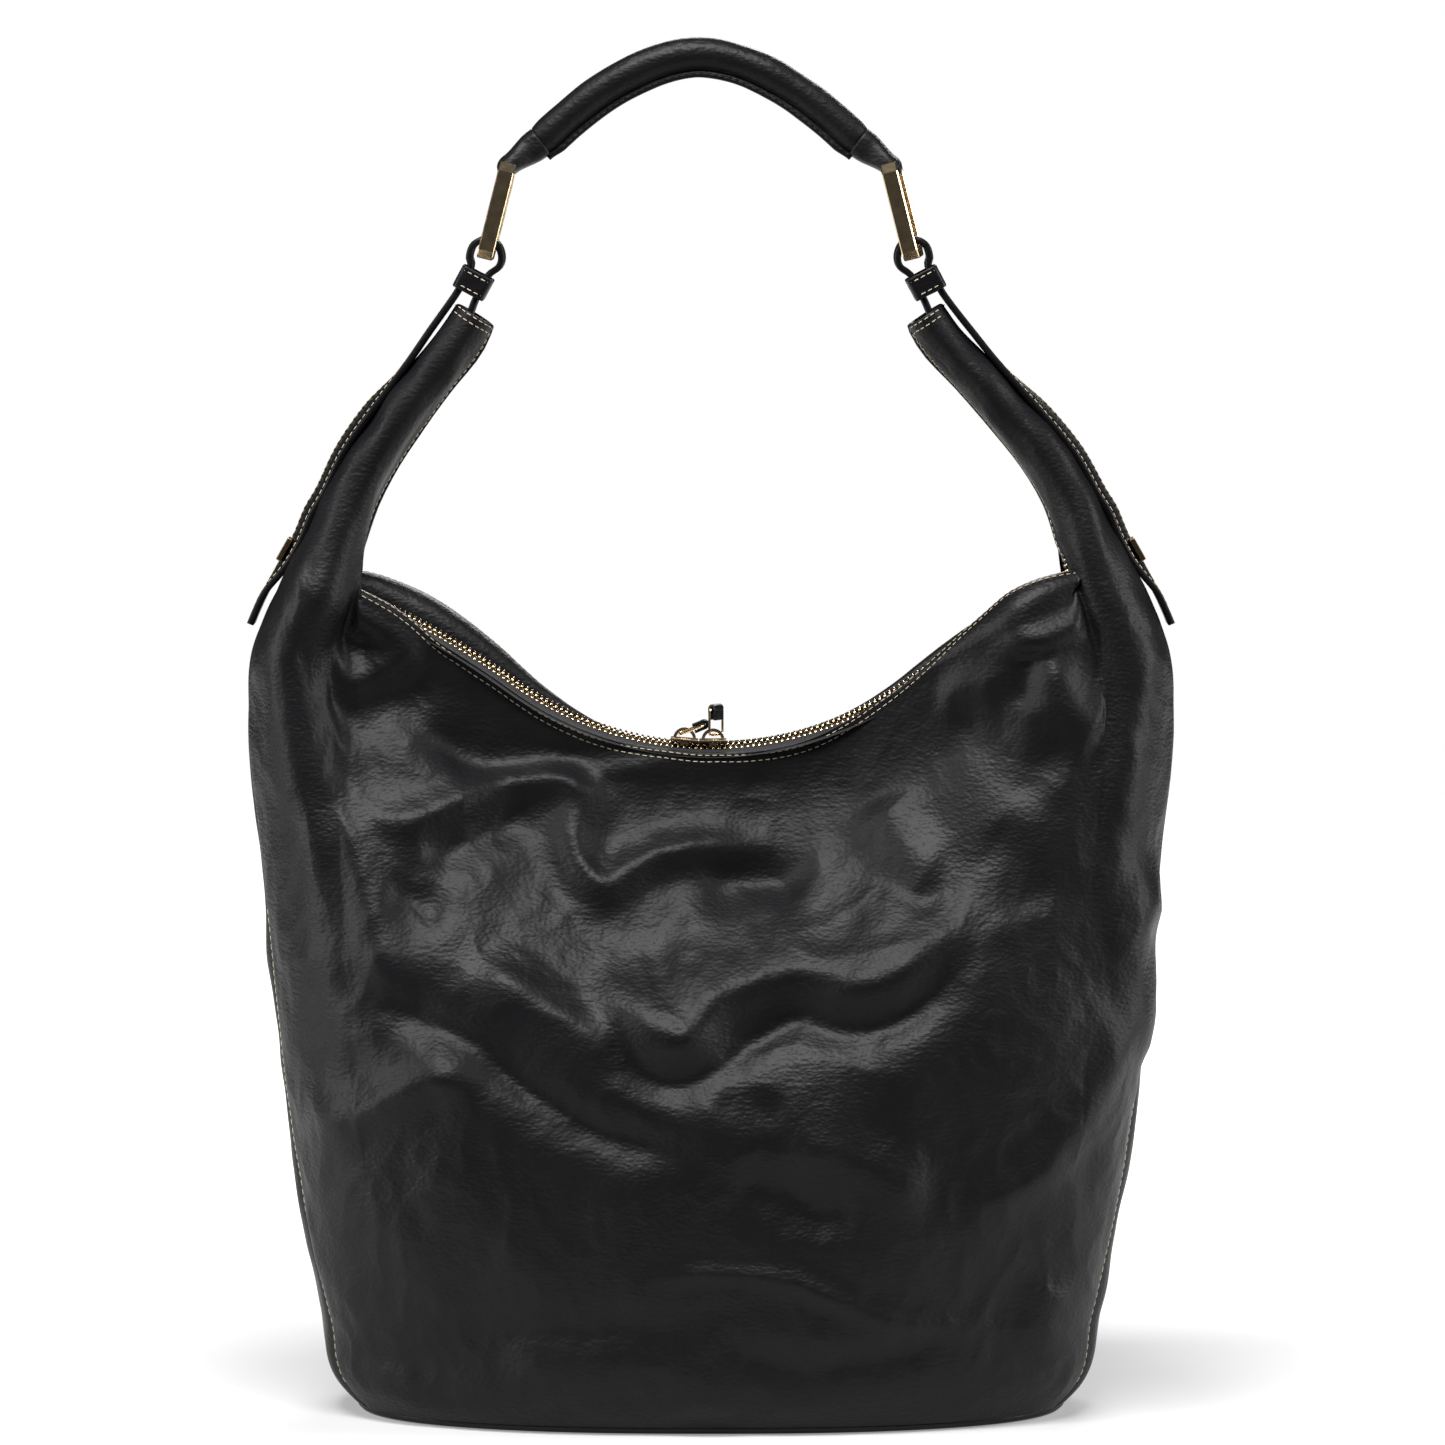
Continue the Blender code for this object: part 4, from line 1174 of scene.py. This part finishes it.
class Handle:
    """A rolled leather handle with a sewn flange along its underside."""

    BAR = (0.0760, 0.4975)
    FLANGE_STITCH = (-8.1 * MM, 2.6 * MM)
    END_RUN = 7
    END_SHRINK = 0.14
    SECTION = ((6.4, 0.0), (6.0, 2.4), (4.7, 4.4), (2.5, 5.9), (0.0, 6.4), (-2.4, 5.9), (-4.4, 4.5),
               (-5.6, 3.0), (-6.2, 1.9), (-6.6, 1.8), (-7.0, 2.3), (-7.6, 2.5), (-8.8, 2.5),
               (-9.3, 2.2), (-9.5, 0.0))

    def __init__(self, size: HandleSize, finishes: Finishes) -> None:
        """Lay out the handle's arch."""
        self.finishes = finishes
        self.stations = size.stations
        share = np.linspace(-size.end, size.end, size.stations)
        z = size.top - size.drop * np.abs(share) ** size.power
        self.line = np.stack([share * size.span + LEAN, np.zeros(len(share)), z], axis=1)
        ahead = units(np.gradient(self.line, axis=0))
        self.up = np.stack([-ahead[:, 2], np.zeros(len(share)), ahead[:, 0]], axis=1)

    def at(self, up: float, across: float) -> np.ndarray:
        """Line at a height over the handle's middle and a distance to its back."""
        return self.line + self.up * up + np.array([0, across, 0])

    def build(self) -> None:
        """Make the cover, its stitches and the wrapped ends."""
        half = [(u * MM, y * MM) for u, y in self.SECTION]
        outline = half + [(u, -y) for u, y in reversed(half[1:-1])]
        rings = np.stack([self.at(u, y) for u, y in outline], axis=1)
        place, last = np.arange(self.stations), self.stations - 1
        full = ramp(place, 0, self.END_RUN) * (1 - ramp(place, last - self.END_RUN, last))
        ends = 1 - self.END_SHRINK * (1 - full)
        rings = self.line[:, None] + (rings - self.line[:, None]) * ends[:, None, None]
        away = units(rings - self.line[:, None])
        wrinkle = 0.35 * MM * grain(rings, (60, 60, 60), 31.0)
        wrinkle += 0.05 * MM * grain(rings, (220, 220, 220), 33.0)
        rings = rings + away * wrinkle[..., None]
        cover = loft("handle_cover_leather", rings, self.finishes.leather)
        Piece("leather", "handle", ("handle_cover",)).fit(cover)
        for sign, name in ((-1.0, "front"), (1.0, "back")):
            height, across = self.FLANGE_STITCH
            path = self.at(height, sign * across)
            up = np.tile(ACROSS * sign, (len(path), 1))
            item = FINE_STITCH.mesh("handle_stitches_" + name, path[6:-6], up[6:-6], self.finishes.zip_tape)
            Piece("leather", "handle").fit(item)
        for name, end in (("left", 0), ("right", -1)):
            self.wrap(name, self.line[end])

    def wrap(self, name: str, start: np.ndarray) -> None:
        """The leather that runs from the roll's end round the link's upper bar."""
        side = -1.0 if name == "left" else 1.0
        bar = np.array([side * self.BAR[0] + LEAN, 0, self.BAR[1]])
        ahead = units(bar - start)
        reach = float(np.linalg.norm(bar - start))
        up = np.cross(ahead, ACROSS)
        a, b = (wave[:, None] for wave in rounded_square(np.linspace(0, TAU, 33)[:-1], 0.75))
        rings = []
        for share in np.linspace(-0.15, 1.0, 26):
            along = share * (reach + 4.6 * MM)
            tip = math.sqrt(max(1 - max((along - reach + 0.5 * MM) / (5.2 * MM), 0) ** 2, 0.003))
            thick = (6.3 - 2.0 * float(ramp(share, 0.0, 0.7))) * MM * tip
            wide = (6.3 + 3.2 * float(ramp(share, 0.1, 0.7))) * MM * (0.9 + 0.1 * tip)
            rings.append(start + ahead * along + up * (b * thick) + ACROSS * (a * wide))
        item = loft(f"handle_wrap_{name}", np.array(rings), self.finishes.leather)
        Piece("leather", "handle", (f"handle_loop_{name}",)).fit(item)


# ---------------------------------------------------------------- fittings and stage


class Fittings:
    """The hard parts that stay as the frame has them, and the pulls' leather."""

    KEEP = {
        "base_board": "board", "handle_core": "core", "stud_left": "stud_metal",
        "stud_right": "stud_metal", "link_left": "gold", "link_right": "gold", "slider_left": "gold",
        "slider_right": "gold", "pull_ring_left": "gold", "pull_ring_right": "gold",
    }

    def __init__(self, finishes: Finishes) -> None:
        """Keep the finishes."""
        self.finishes = finishes

    def build(self) -> None:
        """Finish the kept nodes and make the pulls' tabs."""
        for node, slot in self.KEEP.items():
            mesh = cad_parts[node].data
            mesh.materials.clear()
            mesh.materials.append(getattr(self.finishes, slot))
        for name in ("left", "right"):
            tab = soft_copy("pull_tab_" + name, 0.15 * MM, self.finishes.trim)
            Piece("leather", "pull_" + name, ("pull_tab_" + name,)).fit(tab)


@dataclass(frozen=True)
class Lamp:
    """One soft light."""

    name: str
    place: tuple
    size: tuple
    power: float


class Studio:
    """Floor, surround, lights and camera."""

    LAMPS = (
        Lamp("overhead", (-0.15, -0.68, 1.52), (1.0, 0.28), 34.0),
        Lamp("left_strip", (-1.25, -0.40, 0.60), (0.3, 1.0), 12.0),
        Lamp("right_strip", (1.25, -0.22, 0.60), (0.3, 1.0), 12.0),
        Lamp("back_strip", (0.25, 1.30, 1.20), (0.9, 0.4), 14.0),
    )
    AIM = Vector((0.0046, 0.0, 0.2755))
    FLOOR_HALF = 2.5
    FLOOR_NEAR = -0.35
    FLOOR_Z = -0.0002
    # Reach round the bag within which the floor's glow stays grey: painted shade at the bag's foot.
    PAINTED_SHADE_RADIUS = 0.20
    GLOW_RATE = 2.2
    SURROUND_LIGHT = 0.05
    CAMERA_DISTANCE = 2.8
    CAMERA_RISE = math.radians(5.0)
    FIELD = 0.578
    FILM = 36.0

    def build(self) -> None:
        """Set the stage."""
        self.floor()
        self.surround()
        for lamp in self.LAMPS:
            self.light(lamp)
        self.camera()

    def floor(self) -> None:
        """A flat pale floor that glows, grey round the bag as painted shade at its foot and past white
        further off.
        """
        far_x, near_y, z = self.FLOOR_HALF, self.FLOOR_NEAR, self.FLOOR_Z
        points = [(-far_x, near_y, z), (far_x, near_y, z), (far_x, far_x, z), (-far_x, far_x, z)]
        shader = Shader("paper")
        place = shader.place()
        length = shader.node("ShaderNodeVectorMath", {"operation": "LENGTH"}, {0: place})
        gap = Wire(shader, length.outputs["Value"])
        far = shader.node("ShaderNodeMath", {"operation": "MULTIPLY", "use_clamp": True},
                          {0: gap - self.PAINTED_SHADE_RADIUS, 1: self.GLOW_RATE})
        # Grey glow near the bag rising to past white further off: painted shade round the bag's foot, which
        # also lights the bag less from below.
        glow_past_painted_shade = shader.mixed(Wire(shader, far.outputs[0]), (0.30, 0.30, 0.30), (1.1, 1.1, 1.1))
        shader.set(Base_Color=shader.mixed(shader.noise(place, 3.0), (0.45, 0.45, 0.45), (0.47, 0.47, 0.47)),
                   Roughness=0.9, Emission_Color=glow_past_painted_shade, Emission_Strength=1.0)
        make_item("floor", points, [(0, 1, 2, 3)], shader.material)

    def surround(self) -> None:
        """A pale surround to look at, which lights the bag only faintly."""
        world = bpy.data.worlds.new("surround")
        world.use_nodes = True
        tree = world.node_tree
        path = tree.nodes.new("ShaderNodeLightPath")
        brightness = tree.nodes.new("ShaderNodeMix")
        brightness.inputs["A"].default_value = self.SURROUND_LIGHT
        brightness.inputs["B"].default_value = 1.0
        tree.links.new(path.outputs["Is Camera Ray"], brightness.inputs["Factor"])
        tree.links.new(brightness.outputs["Result"], tree.nodes["Background"].inputs["Strength"])
        tree.nodes["Background"].inputs["Color"].default_value = (1.0, 1.0, 1.0, 1.0)
        bpy.context.scene.world = world
        bpy.context.scene.view_settings.view_transform = "Standard"

    def light(self, lamp: Lamp) -> None:
        """One area light that faces the bag."""
        data = bpy.data.lights.new(lamp.name, "AREA")
        data.shape = "RECTANGLE"
        data.size, data.size_y = lamp.size
        data.energy = lamp.power
        item = bpy.data.objects.new(lamp.name, data)
        bpy.context.scene.collection.objects.link(item)
        item.location = lamp.place
        item.rotation_mode = "QUATERNION"
        item.rotation_quaternion = (self.AIM - Vector(lamp.place)).to_track_quat("-Z", "Y")

    def camera(self) -> None:
        """The camera, a little above the bag's middle and straight in front."""
        distance, height = self.CAMERA_DISTANCE, self.CAMERA_RISE
        data = bpy.data.cameras.new("camera")
        data.lens = self.FILM * distance / self.FIELD
        data.clip_end = 50.0
        item = bpy.data.objects.new("camera", data)
        bpy.context.scene.collection.objects.link(item)
        back = Vector((0.0, -math.cos(height), math.sin(height)))
        item.location = self.AIM + back * distance
        item.rotation_mode = "QUATERNION"
        item.rotation_quaternion = (-back).to_track_quat("-Z", "Y")
        bpy.context.scene.camera = item


def main() -> None:
    """Dress the frame and set the stage."""
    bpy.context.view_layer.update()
    finishes = Finishes()
    shell = Shell()
    Body(shell, finishes).build()
    Zip(shell, finishes).build()
    Carry(finishes).build()
    Handle(HandleSize(), finishes).build()
    Fittings(finishes).build()
    Studio().build()


if __name__ == "__main__":
    main()
